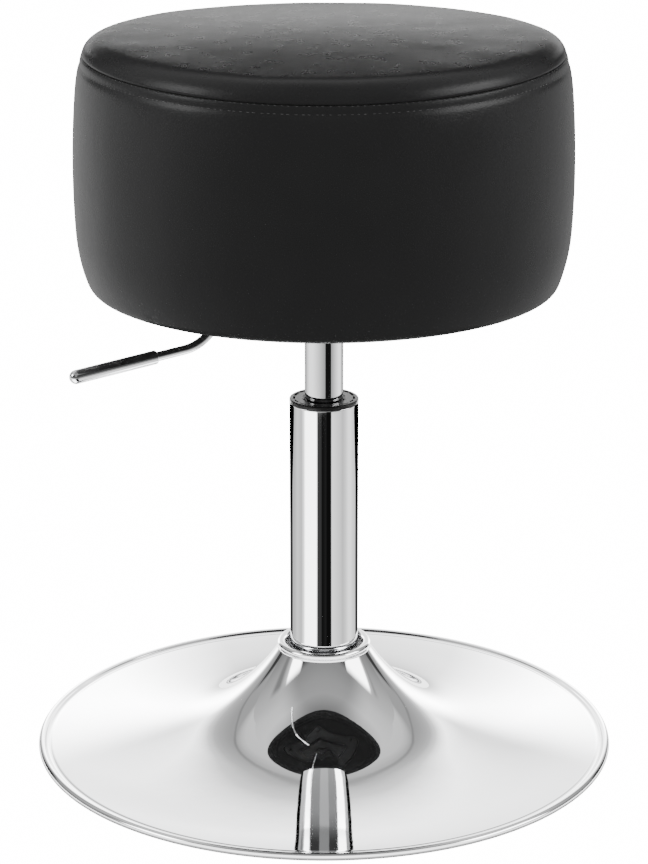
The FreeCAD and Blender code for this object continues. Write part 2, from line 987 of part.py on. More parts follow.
def lever_rod():
    end = grip_line(lever_tip_reach - grip_radius)
    rod = bent_rod(lever_points() + [end], [lever_knee_bend, lever_elbow_bend], lever_rod_radius)
    return along_lever(rod)


def lever_grip():
    """The sleeve on the lever's outer run: a domed end, and a soft edge where the rod goes in."""
    start, tip = grip_line(grip_start_reach), grip_line(lever_tip_reach)
    length = math.dist(start, tip)
    bore = lever_rod_radius + grip_bore_air
    bore_end = length - grip_radius + grip_bore_air
    edge = grip_edge_round
    dome = grip_radius
    grip = turned(outline(
        (bore, 0),
        ("line", (grip_radius - edge, 0)),
        ("arc", polar((grip_radius - edge, edge), edge, -EIGHTH_TURN), (grip_radius, edge)),
        ("line", (grip_radius, length - dome)),
        ("arc", polar((0, length - dome), dome, EIGHTH_TURN), (0, length)),
        ("line", (0, bore_end)),
        ("line", (bore, bore_end)),
    ))
    tilt = QUARTER_TURN - math.degrees(lever_slope(start, tip))
    grip.rotate(ORIGIN, V(0, 1, 0), tilt)
    grip.translate(at(*start))
    return along_lever(grip)


def at_pivot(shape):
    """Lays a piece that was built along Z on the lever's inner run, at the point where it rocks."""
    knee = (lever_knee_reach, lever_knee_height)
    tilt = QUARTER_TURN - math.degrees(lever_slope((0, lever_inner_height), knee))
    shape.rotate(ORIGIN, V(0, 1, 0), tilt)
    shape.translate(at(lever_pivot_reach, pivot_height()))
    return shape


def lever_bush_radius():
    return lever_rod_radius + lever_bush_air + lever_bush_wall


def lever_bush():
    """The plastic bush in the box wall, on which the lever rocks, with its flange inside the box."""
    bore = lever_rod_radius + lever_bush_air
    outer = lever_bush_radius()
    half = lever_bush_length / 2
    bush = turned_polygon([
        (bore, -half),
        (outer + lever_bush_flange_width, -half),
        (outer + lever_bush_flange_width, lever_bush_flange - half),
        (outer, lever_bush_flange - half),
        (outer, half),
        (bore, half),
    ])
    return along_lever(at_pivot(bush))


# Fasteners

def at_bolts(shape):
    """Four copies, one at each bolt of the seat plate."""
    copies = []
    for x in (-bolt_pitch / 2, bolt_pitch / 2):
        for y in (-bolt_pitch / 2, bolt_pitch / 2):
            copy = shape.copy()
            copy.translate(V(x, y, 0))
            copies.append(copy)
    return along_lever(Part.makeCompound(copies))


def washer_low():
    return plate_top() - plate_thickness - washer_thickness


def plate_bolts():
    head = hexagon(bolt_head_across_flats, 0, bolt_head_height)
    head.rotate(ORIGIN, V(1, 0, 0), FULL_TURN / 2)
    head.translate(at(0, washer_low()))
    shank = Part.makeCylinder(bolt_radius, bolt_length, at(0, washer_low()))
    return at_bolts(head.fuse(shank))


def plate_washers():
    low = washer_low()
    return at_bolts(ring(washer_radius, bolt_radius + clear_gap, low, low + washer_thickness))


def board_low():
    return seat_underside_height + cover_thickness


def board_high():
    return board_low() + bottom_board_thickness


def tee_nuts():
    top = board_high()
    bore = bolt_radius + fitted_clearance
    nut = turned_polygon([
        (bore, top - tee_nut_barrel_length),
        (tee_nut_barrel_radius, top - tee_nut_barrel_length),
        (tee_nut_barrel_radius, top),
        (tee_nut_flange_radius, top),
        (tee_nut_flange_radius, top + tee_nut_flange_thickness),
        (bore, top + tee_nut_flange_thickness),
    ])
    return at_bolts(nut)


# Seat

def bottom_board():
    board = Part.makeCylinder(board_radius, bottom_board_thickness, at(0, board_low()))
    hole = Part.makeCylinder(
        tee_nut_barrel_radius + fitted_clearance,
        bottom_board_thickness + 2 * overrun,
        at(0, board_low() - overrun),
    )
    return board.cut(at_bolts(hole))


def drum_wall():
    high = top_board_top_height - top_board_thickness
    return ring(board_radius, board_radius - drum_wall_thickness, board_high(), high)


def top_board():
    low = top_board_top_height - top_board_thickness
    board = Part.makeCylinder(board_radius, top_board_thickness, at(0, low))
    vent = Part.makeCylinder(
        vent_radius,
        top_board_thickness + 2 * overrun,
        V(board_radius - vent_circle_inset, 0, low - overrun),
    )
    for cutter in on_circle(vent, vent_count):
        board = board.cut(cutter)
    return board


def crown_middle(inset):
    """The point halfway along the crown's arc, whose centre is on the axis, so that the top is domed."""
    edge = crown_edge_radius - inset * math.sqrt(2) / 4
    rise = crown_dome_rise
    radius = (edge * edge + rise * rise) / (2 * rise)
    angle = math.asin(edge / radius) / 2
    top = crown_top_height - inset
    return (radius * math.sin(angle), top - radius * (1 - math.cos(angle)))


def seat_outline(inset):
    """The seat's outer profile down to the axis, drawn in by inset on every side."""
    slant = inset * math.sqrt(2) / 2
    side = seat_radius - inset
    low = seat_underside_height
    foot = low + inset
    foot_turn = (seat_radius - foot_turn_inset - slant, low + foot_turn_rise + slant)
    foot_side = (side - foot_side_inset, low + foot_side_rise)
    low_side = (side - low_side_inset, low + low_side_rise)
    side_start = (side - side_start_inset, low + side_start_rise)
    widest = (side, low + widest_height_share * seat_side_height)
    shoulder_low = (side - shoulder_low_inset, seam_height - shoulder_low_drop)
    shoulder_mid = (side - shoulder_mid_inset, seam_height - shoulder_mid_drop)
    seam = (seam_radius - inset, seam_height)
    crown_turn = (seat_radius - crown_turn_inset - slant, seam_height + crown_turn_rise - slant)
    crown_edge = (crown_edge_radius - slant / 2, seam_height + crown_edge_rise - inset)
    return outline(
        (0, foot),
        ("line", (seat_radius - foot_corner_inset, foot)),
        ("arc", foot_turn, foot_side),
        ("arc", low_side, side_start),
        ("arc", widest, shoulder_low),
        ("arc", shoulder_mid, seam),
        ("arc", crown_turn, crown_edge),
        ("arc", crown_middle(inset), (0, crown_top_height - inset)),
    )


def seam_groove():
    """The cut that draws the cover in at its seam."""
    half = seam_groove_width / 2
    return turned_polygon([
        (seam_radius - seam_groove_depth, seam_height),
        (seam_radius + overrun, seam_height - half * (1 + overrun / seam_groove_depth)),
        (seam_radius + overrun, seam_height + half * (1 + overrun / seam_groove_depth)),
    ])


def slab(low, high):
    """A flat block wider than the seat, between two heights."""
    return Part.makeCylinder(base_radius, high - low, at(0, low))


def cover_skin():
    skin = turned(seat_outline(0)).cut(turned(seat_outline(cover_thickness)))
    opening = Part.makeCylinder(
        hem_inner_radius,
        cover_thickness + 2 * overrun,
        at(0, seat_underside_height - overrun),
    )
    return skin.cut(opening).cut(seam_groove())


def cover_band():
    return cover_skin().common(slab(seat_underside_height - overrun, seam_height))


def cover_top():
    return cover_skin().common(slab(seam_height, crown_top_height + overrun))


def foam_body():
    return turned(seat_outline(cover_thickness))


def side_foam():
    foam = foam_body().common(slab(seat_underside_height, top_board_top_height))
    core = Part.makeCylinder(
        board_radius,
        top_board_top_height - seat_underside_height + 2 * overrun,
        at(0, seat_underside_height - overrun),
    )
    return foam.cut(core)


def top_foam():
    return foam_body().common(slab(top_board_top_height, crown_top_height + overrun))


def dust_cover():
    """The thin cloth under the seat, which steps down over the cover's hem."""
    high = board_low()
    sheet = dust_cover_thickness
    hem = cover_thickness
    edge = hem_inner_radius - fitted_clearance
    cloth = turned_polygon([
        (0, high - sheet),
        (edge - sheet, high - sheet),
        (edge - sheet, high - hem - sheet),
        (board_radius - dust_cover_inset, high - hem - sheet),
        (board_radius - dust_cover_inset, high - hem),
        (edge, high - hem),
        (edge, high),
        (0, high),
    ])
    hole = Part.makeCylinder(bolt_radius + clear_gap, hem + 2 * overrun, at(0, high - hem - overrun))
    return cloth.cut(at_bolts(hole))


def staples():
    low = seat_underside_height - dust_cover_thickness - staple_wire
    staple = Part.makeBox(
        staple_wire,
        staple_length,
        staple_wire,
        V(board_radius - staple_inset - staple_wire / 2, -staple_length / 2, low),
    )
    return Part.makeCompound(on_circle(staple, staple_count))


NODES = {
    "base_shell": base_shell,
    "base_socket": base_socket,
    "socket_plate": socket_plate,
    "floor_ring": floor_ring,
    "column_tube": column_tube,
    "guide_bush": guide_bush,
    "column_end_plate": column_end_plate,
    "lower_thrust_washer": lower_thrust_washer,
    "upper_thrust_washer": upper_thrust_washer,
    "thrust_cage": thrust_cage,
    "thrust_balls": thrust_balls,
    "rod_washer": rod_washer,
    "rod_clip": rod_clip,
    "piston_rod": piston_rod,
    "buffer_ring": buffer_ring,
    "piston": piston,
    "piston_seal": piston_seal,
    "piston_nut": piston_nut,
    "gas_cylinder": gas_cylinder,
    "cylinder_end_guide": cylinder_end_guide,
    "rod_seal": rod_seal,
    "valve_body": valve_body,
    "release_pin": release_pin,
    "seat_plate": seat_plate,
    "cone_socket": cone_socket,
    "lever_rod": lever_rod,
    "lever_grip": lever_grip,
    "lever_bush": lever_bush,
    "plate_bolts": plate_bolts,
    "plate_washers": plate_washers,
    "tee_nuts": tee_nuts,
    "bottom_board": bottom_board,
    "drum_wall": drum_wall,
    "top_board": top_board,
    "side_foam": side_foam,
    "top_foam": top_foam,
    "cover_band": cover_band,
    "cover_top": cover_top,
    "dust_cover": dust_cover,
    "staples": staples,
}


def main():
    os.makedirs("parts", exist_ok=True)
    for name, build in NODES.items():
        shape = build()
        shape.exportStep("parts/" + name + ".step")
        print(name, "solids", len(shape.Solids), "valid", shape.isValid(), "volume", round(shape.Volume))


main()
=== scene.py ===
import json
import math

import bpy
import numpy as np
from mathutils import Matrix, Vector


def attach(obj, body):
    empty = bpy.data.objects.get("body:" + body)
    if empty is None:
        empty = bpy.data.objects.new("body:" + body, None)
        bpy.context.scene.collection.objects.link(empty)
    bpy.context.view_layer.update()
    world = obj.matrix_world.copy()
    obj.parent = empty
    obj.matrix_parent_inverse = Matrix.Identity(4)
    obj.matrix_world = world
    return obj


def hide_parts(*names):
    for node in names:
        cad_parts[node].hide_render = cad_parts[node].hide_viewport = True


# A round upholstered swivel stool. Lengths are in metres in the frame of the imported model:
# +Z up along the column, the front of the stool faces -Y.

MM = 0.001

# Seat: the outline of the cover, as radius and height
SEAT_BOTTOM = 354.3 * MM
HEM_RADIUS = 139.0 * MM
COVER_THICKNESS = 1.2 * MM
HEM_FLAT_END = (153.0 * MM, 354.3 * MM)
SEAT_FOOT = (161.8 * MM, 352.4 * MM)
SEAT_FOOT_TURN = (166.0 * MM, 353.6 * MM)
SEAT_FOOT_SIDE = (168.0 * MM, 357.4 * MM)
SEAT_LOW_SIDE = (172.7 * MM, 373.5 * MM)
SEAT_SIDE_START = (175.6 * MM, 395.0 * MM)
SEAT_WIDEST = (176.6 * MM, 446.0 * MM)
SEAT_SHOULDER_LOW = (174.4 * MM, 490.0 * MM)
SEAT_SHOULDER_MID = (172.3 * MM, 503.0 * MM)
SEAT_SEAM = (168.9 * MM, 513.4 * MM)
SEAT_CROWN_TURN = (164.2 * MM, 523.0 * MM)
SEAT_CROWN_EDGE = (153.5 * MM, 528.2 * MM)
SEAT_CROWN_TOP = 532.2 * MM
PROFILE_STEP = 0.9 * MM
PROFILE_SOFTNESS = 3.2 * MM
SEAT_TURNS = 640

# Seam between the top panel and the side band
SEAM_LIFT_AT_SIDES = 5.0 * MM
SEAM_REACH = 26.0 * MM
SEAM_LIFT_START = 100.0 * MM
SEAM_LIFT_FULL = 152.0 * MM
SEAM_LIP = 1.1 * MM
SEAM_DEPTH = 0.8 * MM
STITCH_ROW_BELOW = 6.1 * MM
STITCH_PITCH = 4.5 * MM
STITCH_LENGTH = 2.7 * MM
STITCH_RADIUS = 0.24 * MM
STITCH_SINK = 0.05 * MM
STITCH_DIVE_SHARE = 1.8
STITCH_THIN_SHARE = 0.35
STITCH_SIDES = 6
STITCH_STEPS = 7
# Unevenness of the stitches, as a share of their pitch, a turn for each stitch and a start
STITCH_WOBBLES = [(0.12, 2.399, 0.0), (0.08, 5.13, 1.0)]
SEAM_STITCH_BELOW = 0.75 * MM
SEAM_STITCH_LENGTH = 0.75 * STITCH_LENGTH
SEAM_STITCH_RADIUS = 0.8 * STITCH_RADIUS
SEAM_STITCH_TILT = 0.18
STITCH_CHANNEL_DEPTH = 0.45 * MM
STITCH_CHANNEL_WIDTH = 1.5 * MM
STITCH_COUNT = round(math.tau * SEAT_SEAM[0] / STITCH_PITCH)
PUCKER_DEPTH = 0.14 * MM

# Slack of the cover. It fades out at the seam, at the foot and towards the middle of the top
SLACK_DEPTH = 0.45 * MM
SLACK_FROM_SEAM = 20.0 * MM
SLACK_FROM_FOOT = 12.0 * MM
SLACK_FADE_RADIUS = 135.0 * MM
# Waves of the slack: share, waves round the seat, turn for each metre of height, and start
SLACK_WAVES = [(0.35, 3, 0, 0.7), (0.25, 5, 18, 2.1), (0.18, 11, 31, 0.0), (0.12, 17, -23, 1.3)]

# Base: the pressed dish
BASE_RADIUS = 213.0 * MM
BASE_WALL = 1.6 * MM
BEAD_RADIUS = 2.9 * MM
BEAD_LIFT = 0.6 * MM
VALLEY_DEPTH = 0.7 * MM
VALLEY_WIDTH = 4.1 * MM
LIP_RADIUS = 3.1 * MM
LIP_OUTER_RADIUS = 34.6 * MM
LIP_CENTER_HEIGHT = 77.0 * MM
LIP_SKIRT = 3.0 * MM
LIP_FOOT_ANGLE = -40.0
NECK_SLOPE_ANGLE = 57.0
RIM_SLOPE_ANGLE = 4.5
BEAD_JOIN_ANGLE = 150.0
BEAD_END_ANGLE = -200.0
# The dish between its lip and its rim, as shares of the way out and of the fall
DISH_SHARES = [
    (0.055, 0.816), (0.145, 0.583), (0.250, 0.391), (0.360, 0.263), (0.480, 0.183), (0.640, 0.109),
    (0.820, 0.046),
]
BASE_TURNS = 288
DISH_STEPS = 150
LIP_STEPS = 26
BEAD_STEPS = 44

# Column and gas cylinder
COLUMN_RADIUS = 25.0 * MM
COLUMN_WALL = 2.0 * MM
COLUMN_BOTTOM = 18.0 * MM
COLUMN_TOP = 263.9 * MM
COLUMN_TAPER = 54.0 * MM
COLUMN_TAPER_INSET = 0.7 * MM
COLUMN_MOUTH_ROUND = 0.6 * MM
CYLINDER_RADIUS = 14.0 * MM
COLLAR_RADIUS = 25.1 * MM
COLLAR_HEIGHT = 2.9 * MM
COLLAR_ROUND = 1.0 * MM
COLLAR_LIP = 1.4 * MM
COLLAR_LIP_DROP = 0.35 * MM
COLLAR_FACE_EDGE = 16.0 * MM
COLLAR_FACE_DROP = 1.3 * MM
COLLAR_BORE_AIR = 0.35 * MM
BUSH_LENGTH = 78.0 * MM
BUSH_AIR = 0.05 * MM
SLOT_COUNT = 16
SLOT_RADIUS = 21.7 * MM
SLOT_WIDTH = 1.4 * MM
SLOT_LENGTH = 6.2 * MM
SLOT_DEPTH = 3.0 * MM
CYLINDER_WALL = 2.0 * MM
CYLINDER_BOTTOM = 100.0 * MM
CYLINDER_TOP = 340.0 * MM
CYLINDER_CONE = 28.0 * MM
CYLINDER_CONE_INSET = 0.7 * MM
CYLINDER_ROUND = 1.2 * MM
TUBE_TURNS = 192
BUSH_TURNS = 480
ROUND_ANGLES = (0, 22, 45, 67, 90)
# Long flat runs get a point this far inside both ends, and edges sharper than the angle stay sharp
BRACE_SPAN = 0.4 * MM
BRACE_LONGEST = 4.0 * MM
CREASE_ANGLE = 30.0
GRIP_CREASE_ANGLE = 50.0

# Lever: points of its middle line, measured from the column's axis along its heading
LEVER_HEADING = 210.0
LEVER_ROD_RADIUS = 3.37 * MM
LEVER_START = (-1.5 * MM, 351.3 * MM)
LEVER_KNEE = (77.0 * MM, 340.8 * MM)
LEVER_ELBOW = (102.4 * MM, 319.3 * MM)
LEVER_TIP = (201.1 * MM, 310.5 * MM)
LEVER_KNEE_BEND = 16.0 * MM
LEVER_ELBOW_BEND = 32.0 * MM
GRIP_START_REACH = 134.8 * MM
GRIP_RADIUS = 4.95 * MM
GRIP_EDGE = 0.8 * MM
GRIP_BORE_SHARE = 0.9
LEVER_BEND_STEP = 0.6 * MM
LEVER_SIDES = 48
GRIP_SIDES = 64
GRIP_END_STEPS = 16

# Cloth under the seat: it steps up inside the hem, ripples between its staples and sags in the middle
CLOTH_RADIUS = 151.0 * MM
CLOTH_THICKNESS = 0.5 * MM
CLOTH_STEP_INSET = 2.0 * MM
CLOTH_STEP_SOFTNESS = 0.8 * MM
CLOTH_RIPPLE = 0.175 * MM
CLOTH_RIPPLE_REACH = 6.0 * MM
CLOTH_RIPPLE_COUNT = 24
CLOTH_SAG = 0.14 * MM
CLOTH_SAG_WAVES = (7, 40)
CLOTH_RINGS = 60
CLOTH_TURNS = 240

# Camera: it stands in front of the stool and looks down at it
CAMERA_PLACE = (0.0, -2.0, 0.87286)
CAMERA_PITCH = 17.55
CAMERA_LENS = 120.46
CAMERA_CLIP = (0.1, 50.0)
SENSOR_SIZE = 36.0

# Studio: the brightness of what reflections and soft light see around the stool
PAPER_WHITE = 16.0
FLOOR_GLOW = 1.5
FLOOR_HALF = 12.0
ROOM_GLOW = 1.0
# In front the room is dimmer: its soft edge by a direction's y, and the share of the light at both ends of it
ROOM_FRONT = (-0.35, 0.05, 0.45, 1.0)
# Room, by degrees above the horizon
ROOM_LEVELS = [
    (0, 0.20), (15, 0.25), (25, 0.40), (35, 0.55), (45, 0.68), (52, 0.85), (60, 0.95), (68, 0.60), (75, 0.35),
    (90, 0.30),
]
# Tall panels in front: their soft edges in degrees above the horizon, their soft end by a direction's y, and
# their brightness by degrees from straight in front, positive to the right
PANEL_LOW_EDGE = (14, 20)
PANEL_TOP_EDGE = (43, 37)
PANEL_END = (0.25, 0.15)
PANEL_LEVELS = [
    (-180, 0.25), (-96, 0.25), (-86, 1.0), (-84, 8.0), (-63, 8.0), (-59, 0.05), (-19, 0.05), (-17, 0.30),
    (19, 0.30), (21, 0.05), (58, 0.05), (60, 8.0), (96, 8.0), (98, 1.0), (104, 0.25), (180, 0.25),
]
# Paper backdrop behind the stool, with a bright dome of light painted into its glow. The dome is measured in
# shares of the dome's half width and height
BACKDROP_DISTANCE = 0.40
BACKDROP_HALF_WIDTH = 0.75
BACKDROP_HEIGHT = 1.00
DOME_MIDDLE = 0.015
DOME_FOOT = 0.10
DOME_HALF_WIDTH = 0.36
DOME_HEIGHT = 0.44
DOME_LOW_END = (0.24, 0.11)
DOME_UPPER_LEVELS = [
    (0.0, 2.3), (0.70, 2.3), (0.78, 3.3), (0.85, 3.9), (0.93, 2.4), (1.00, 1.3), (1.10, 0.75), (1.20, 0.60),
    (1.35, 0.50), (1.50, 0.44),
]
DOME_LOWER_LEVELS = [
    (0.0, 4.8), (0.30, 4.8), (0.45, 8.0), (0.60, 13.0), (0.85, 13.0), (0.92, 8.0), (1.00, 2.4), (1.06, 1.2),
    (1.15, 0.60), (1.30, 0.45), (1.50, 0.45),
]
BACKDROP_TOP_LEVELS = [(0.0, 0.0), (0.60, 0.0), (0.68, 0.28), (0.76, 0.45), (1.0, 0.50)]
# A thin line of painted shade round the dome: its side, its top, its width, its corner radius and the share
# of the light that it leaves
DARK_LINE_SIDE = 0.50
DARK_LINE_TOP = 0.597
DARK_LINE_WIDTH = 0.014
DARK_LINE_ROUND = 0.15
DARK_LINE_SHARE = 0.68
# Painted shade at both ends of the backdrop: its share of the light, its soft inner edge and its soft top
# edge
END_SHADE_SHARE = 0.12
END_SHADE_INNER_EDGE = (0.51, 0.54)
END_SHADE_TOP_EDGE = (0.34, 0.26)
# The backdrop fades towards the floor: two heights, and its share of the light at each
BACKDROP_FOOT = (-0.02, 0.12, 0.25, 1.0)
BACKDROP_SINK = 0.05
# Strip of light behind the seat, by height
SHEEN_DISTANCE = 0.25
SHEEN_HALF_WIDTH = 0.30
SHEEN_FOOT = 0.53
SHEEN_TOP = 0.64
SHEEN_LEVELS = [(0.53, 0.9), (0.548, 1.2), (0.562, 2.6), (0.570, 2.6), (0.577, 0.0)]
# Ring of soft light round the seat, by degrees from straight in front, positive to the right
HALO_RADIUS = 0.38
HALO_HEIGHT = 0.52
HALO_LEVELS = [
    (-180, 0.0), (-158, 0.0), (-150, 0.6), (-133, 0.7), (-114, 1.0), (-103, 1.2), (-91, 1.1), (-78, 1.0),
    (-64, 0.9), (-50, 0.4), (-30, 0.0), (30, 0.0), (50, 0.15), (64, 0.35), (78, 0.5), (91, 0.6), (114, 0.6),
    (133, 0.45), (150, 0.4), (158, 0.0), (180, 0.0),
]
# What the column and the cylinder see behind them, by distance from the middle
COLUMN_SCREEN = [(0.0, 0.012), (0.34, 0.02), (0.42, 0.06), (0.50, 0.80), (0.75, 0.75)]
CYLINDER_SCREEN = [(0.0, 0.56), (0.40, 0.60), (0.55, 0.80), (0.75, 1.20)]
SCREEN_DISTANCE = 0.39
SCREEN_HEIGHT = 0.45
# Floor that the base alone sees, by distance from the axis: painted light, with painted shade under the base
# and just round its rim
BASE_FLOOR = [(0.0, 0.22), (0.217, 0.22), (0.223, 3.8), (0.40, 3.8), (2.0, 3.0)]
BASE_FLOOR_RISE = 0.001
# Soft light low in front that the base alone sees, and tall panels in front that the column alone sees
FRONT_DISTANCE = 1.0
FRONT_HEIGHT = 0.60
WALL_TURNS = 96
FRONT_LEVELS = [(-180, 0.0), (-70, 0.0), (-50, 3.0), (50, 3.0), (70, 0.0), (180, 0.0)]
COLUMN_PANELS = (0.95, 2.10)
# Bands of painted light on the floor that reflections see, bright and dark: distance from the axis at which
# each ring of them ends, and in each ring the brightness by degrees from straight in front, positive to the
# right
BAND_BRIGHTNESS = 16.0
BAND_EDGE = 0.006
BAND_RINGS = [0.222, 0.884, 1.42]
CLOSE_BANDS = [
    (-180, 0.70), (-150, 0.70), (-120, 0.10), (-90, 0.035), (90, 0.035), (120, 0.10), (150, 0.70),
    (180, 0.70),
]
NEAR_BANDS = [
    (-180, 0.003), (-132, 0.003), (-127, 0.050), (-116, 0.047), (-99, 0.073), (-89, 0.064), (-80, 0.054),
    (-70, 0.12), (-63, 0.38), (-25.5, 0.40), (-22, 0.003), (-17, 0.0037), (-9, 0.0028), (-6, 0.0004),
    (6, 0.0012), (10, 0.0004), (23, 0.0004), (26, 0.10), (56, 0.068), (64, 0.053), (76, 0.073), (89, 0.115),
    (99, 0.115), (110, 0.087), (127, 0.07), (132, 0.003), (180, 0.003),
]
FAR_BANDS = [
    (-180, 0.035), (-126, 0.048), (-114, 0.076), (-95, 0.122), (-70, 0.12), (-38, 0.078), (-14, 0.048),
    (7, 0.027), (9, 0.0006), (41, 0.0006), (44, 0.032), (52, 0.038), (73, 0.073), (97, 0.119), (115, 0.119),
    (129, 0.085), (140, 0.05), (180, 0.05),
]
OUTER_BANDS = [(-180, 0.30), (-130, 0.30), (-100, 0.03), (0, 0.018), (100, 0.03), (130, 0.30), (180, 0.30)]
# Soft boxes: place, size, power, and the place that each points at
SOFT_BOXES = {
    "left_box": ((-1.6, 0.1, 1.1), (0.7, 1.6), 26.0, (0, 0, 0.25)),
    "right_box": ((1.6, 0.2, 1.1), (0.7, 1.6), 20.0, (0, 0, 0.25)),
    "top_box": ((0.0, 0.9, 1.9), (1.4, 0.7), 14.0, (0, 0, 0.5)),
}


def run(points):
    """How far each point of a polyline is from its first, along it."""
    p = np.asarray(points)
    return np.concatenate([[0], np.cumsum(np.hypot(*np.diff(p, axis=0).T))])


def full_turn(count):
    return [math.tau * j / count for j in range(count)]


def around(radius, angle, height):
    """A point at a distance from the column's axis."""
    return (radius * math.cos(angle), radius * math.sin(angle), height)


def polar(center, radius, angle):
    turn = math.radians(angle)
    return (center[0] + radius * math.cos(turn), center[1] + radius * math.sin(turn))


def arc_points(start, via, end, step):
    """Points along the circle arc through three points, without its first point."""
    (ax, ay), (bx, by), (cx, cy) = start, via, end
    d = 2 * (ax * (by - cy) + bx * (cy - ay) + cx * (ay - by))
    ux = ((ax**2 + ay**2) * (by - cy) + (bx**2 + by**2) * (cy - ay) + (cx**2 + cy**2) * (ay - by)) / d
    uy = ((ax**2 + ay**2) * (cx - bx) + (bx**2 + by**2) * (ax - cx) + (cx**2 + cy**2) * (bx - ax)) / d
    radius = math.hypot(ax - ux, ay - uy)
    first, middle, last = (math.atan2(y - uy, x - ux) for x, y in (start, via, end))
    turn = (last - first) % math.tau
    if (middle - first) % math.tau > turn:
        turn -= math.tau
    count = max(2, round(abs(turn) * radius / step))
    angles = [first + turn * i / count for i in range(1, count + 1)]
    return [(ux + radius * math.cos(a), uy + radius * math.sin(a)) for a in angles]


def resampled(points, step):
    """The same polyline with its points a step apart."""
    p = np.array(points)
    along = run(p)
    where = np.linspace(0, along[-1], max(2, round(along[-1] / step)) + 1)
    return np.column_stack([np.interp(where, along, p[:, 0]), np.interp(where, along, p[:, 1])])


def softened(points, step, width):
    """A polyline blurred along its length, which rounds its kinks and keeps its ends."""
    reach = max(1, round(3 * width / step))
    offsets = np.arange(-reach, reach + 1) * step
    weights = np.exp(-0.5 * (offsets / width) ** 2)
    weights /= weights.sum()
    first = 2 * points[0] - points[reach:0:-1]
    last = 2 * points[-1] - points[-2:-reach - 2:-1]
    padded = np.vstack([first, points, last])
    return np.column_stack([np.convolve(padded[:, k], weights, "valid") for k in (0, 1)])


def clamped_spline(points, first, last, steps):
    """A smooth cubic curve through the points, with unit slopes along first and last at its ends."""
    p = np.array(points)
    t = run(p)
    h = np.diff(t)
    n = len(p)
    matrix, right = np.zeros((n, n)), np.zeros((n, 2))
    matrix[0, 0], right[0] = 1, first
    matrix[-1, -1], right[-1] = 1, last
    for i in range(1, n - 1):
        matrix[i, i - 1], matrix[i, i], matrix[i, i + 1] = h[i], 2 * (h[i - 1] + h[i]), h[i - 1]
        right[i] = 3 * (h[i - 1] * (p[i + 1] - p[i]) / h[i] + h[i] * (p[i] - p[i - 1]) / h[i - 1])
    slope = np.linalg.solve(matrix, right)
    out = []
    for s in np.linspace(0, t[-1], steps):
        i = min(n - 2, int(np.searchsorted(t, s, "right")) - 1)
        u = (s - t[i]) / h[i]
        a = (1 + 2 * u) * (1 - u) ** 2
        b = u * (1 - u) ** 2 * h[i]
        c = u * u * (3 - 2 * u)
        d = u * u * (u - 1) * h[i]
        out.append(tuple(a * p[i] + b * slope[i] + c * p[i + 1] + d * slope[i + 1]))
    return out


def outward(profile):
    """The unit normals of a profile that runs up the outside and in over the top."""
    along = np.gradient(profile, axis=0)
    along /= np.linalg.norm(along, axis=1)[:, None]
    return np.column_stack([along[:, 1], -along[:, 0]])


def braced(points):
    """Adds a point inside both ends of every long run, so that smooth shading leaves the run flat."""
    out = [points[0]]
    for a, b in zip(points, points[1:]):
        length = math.dist(a, b)
        if length > BRACE_LONGEST:
            for share in (BRACE_SPAN / length, 1 - BRACE_SPAN / length):
                out.append(tuple(p + share * (q - p) for p, q in zip(a, b)))
        out.append(b)
    return out


# Meshes

def new_mesh(name, vertices, faces):
    mesh = bpy.data.meshes.new(name)
    mesh.from_pydata(vertices, [], faces)
    mesh.update()
    mesh.polygons.foreach_set("use_smooth", [True] * len(mesh.polygons))
    piece = bpy.data.objects.new(name, mesh)
    bpy.context.scene.collection.objects.link(piece)
    return piece


def ring_faces(first, second, turns, flip=False):
    """The faces between two rings of points, given the number of the first point of each."""
    faces = []
    for j in range(turns):
        k = (j + 1) % turns
        if flip:
            faces.append((first + j, second + j, second + k, first + k))
        else:
            faces.append((first + j, first + k, second + k, second + j))
    return faces


def fan_faces(first, tip, turns, flip=False):
    """The faces between a ring of points and one point in its middle."""
    faces = []
    for j in range(turns):
        k = (j + 1) % turns
        faces.append((first + k, first + j, tip) if flip else (first + j, first + k, tip))
    return faces


def turned_grid(name, rings):
    """A closed mesh from rings of points: each ring is a full turn, and the last joins the first."""
    count, turns = len(rings), len(rings[0])
    faces = []
    for i in range(count):
        faces += ring_faces(i * turns, (i + 1) % count * turns, turns)
    return new_mesh(name, [point for ring in rings for point in ring], faces)


def turned(name, profile, turns):
    """The mesh that a profile of (radius, height) points sweeps round the column's axis."""
    return turned_grid(name, [[around(r, a, z) for a in full_turn(turns)] for r, z in profile])


def crease(piece, angle=CREASE_ANGLE):
    """Keeps the sharp edges of a turned piece sharp while the rest shades smooth."""
    mesh = piece.data
    normals = {}
    for polygon in mesh.polygons:
        for key in polygon.edge_keys:
            normals.setdefault(key, []).append(polygon.normal.copy())
    for edge in mesh.edges:
        sides = normals.get(tuple(sorted(edge.vertices)), [])
        if len(sides) == 2 and sides[0].angle(sides[1], 0.0) > math.radians(angle):
            edge.use_edge_sharp = True


def dress(piece, material):
    piece.data.materials.clear()
    piece.data.materials.append(material)


# Nodes

def feed(tree, node, inputs):
    """Sets a node's inputs, each to a number or a color, or to an output of another node."""
    for name, value in inputs.items():
        if isinstance(value, bpy.types.NodeSocket):
            tree.links.new(value, node.inputs[name])
        else:
            node.inputs[name].default_value = value


def add(tree, kind, inputs=None, **settings):
    node = tree.nodes.new("ShaderNode" + kind)
    for name, value in settings.items():
        setattr(node, name, value)
    feed(tree, node, inputs or {})
    return node


def own_place(tree):
    """A place in a piece's own coordinates."""
    return add(tree, "TexCoord").outputs["Object"]


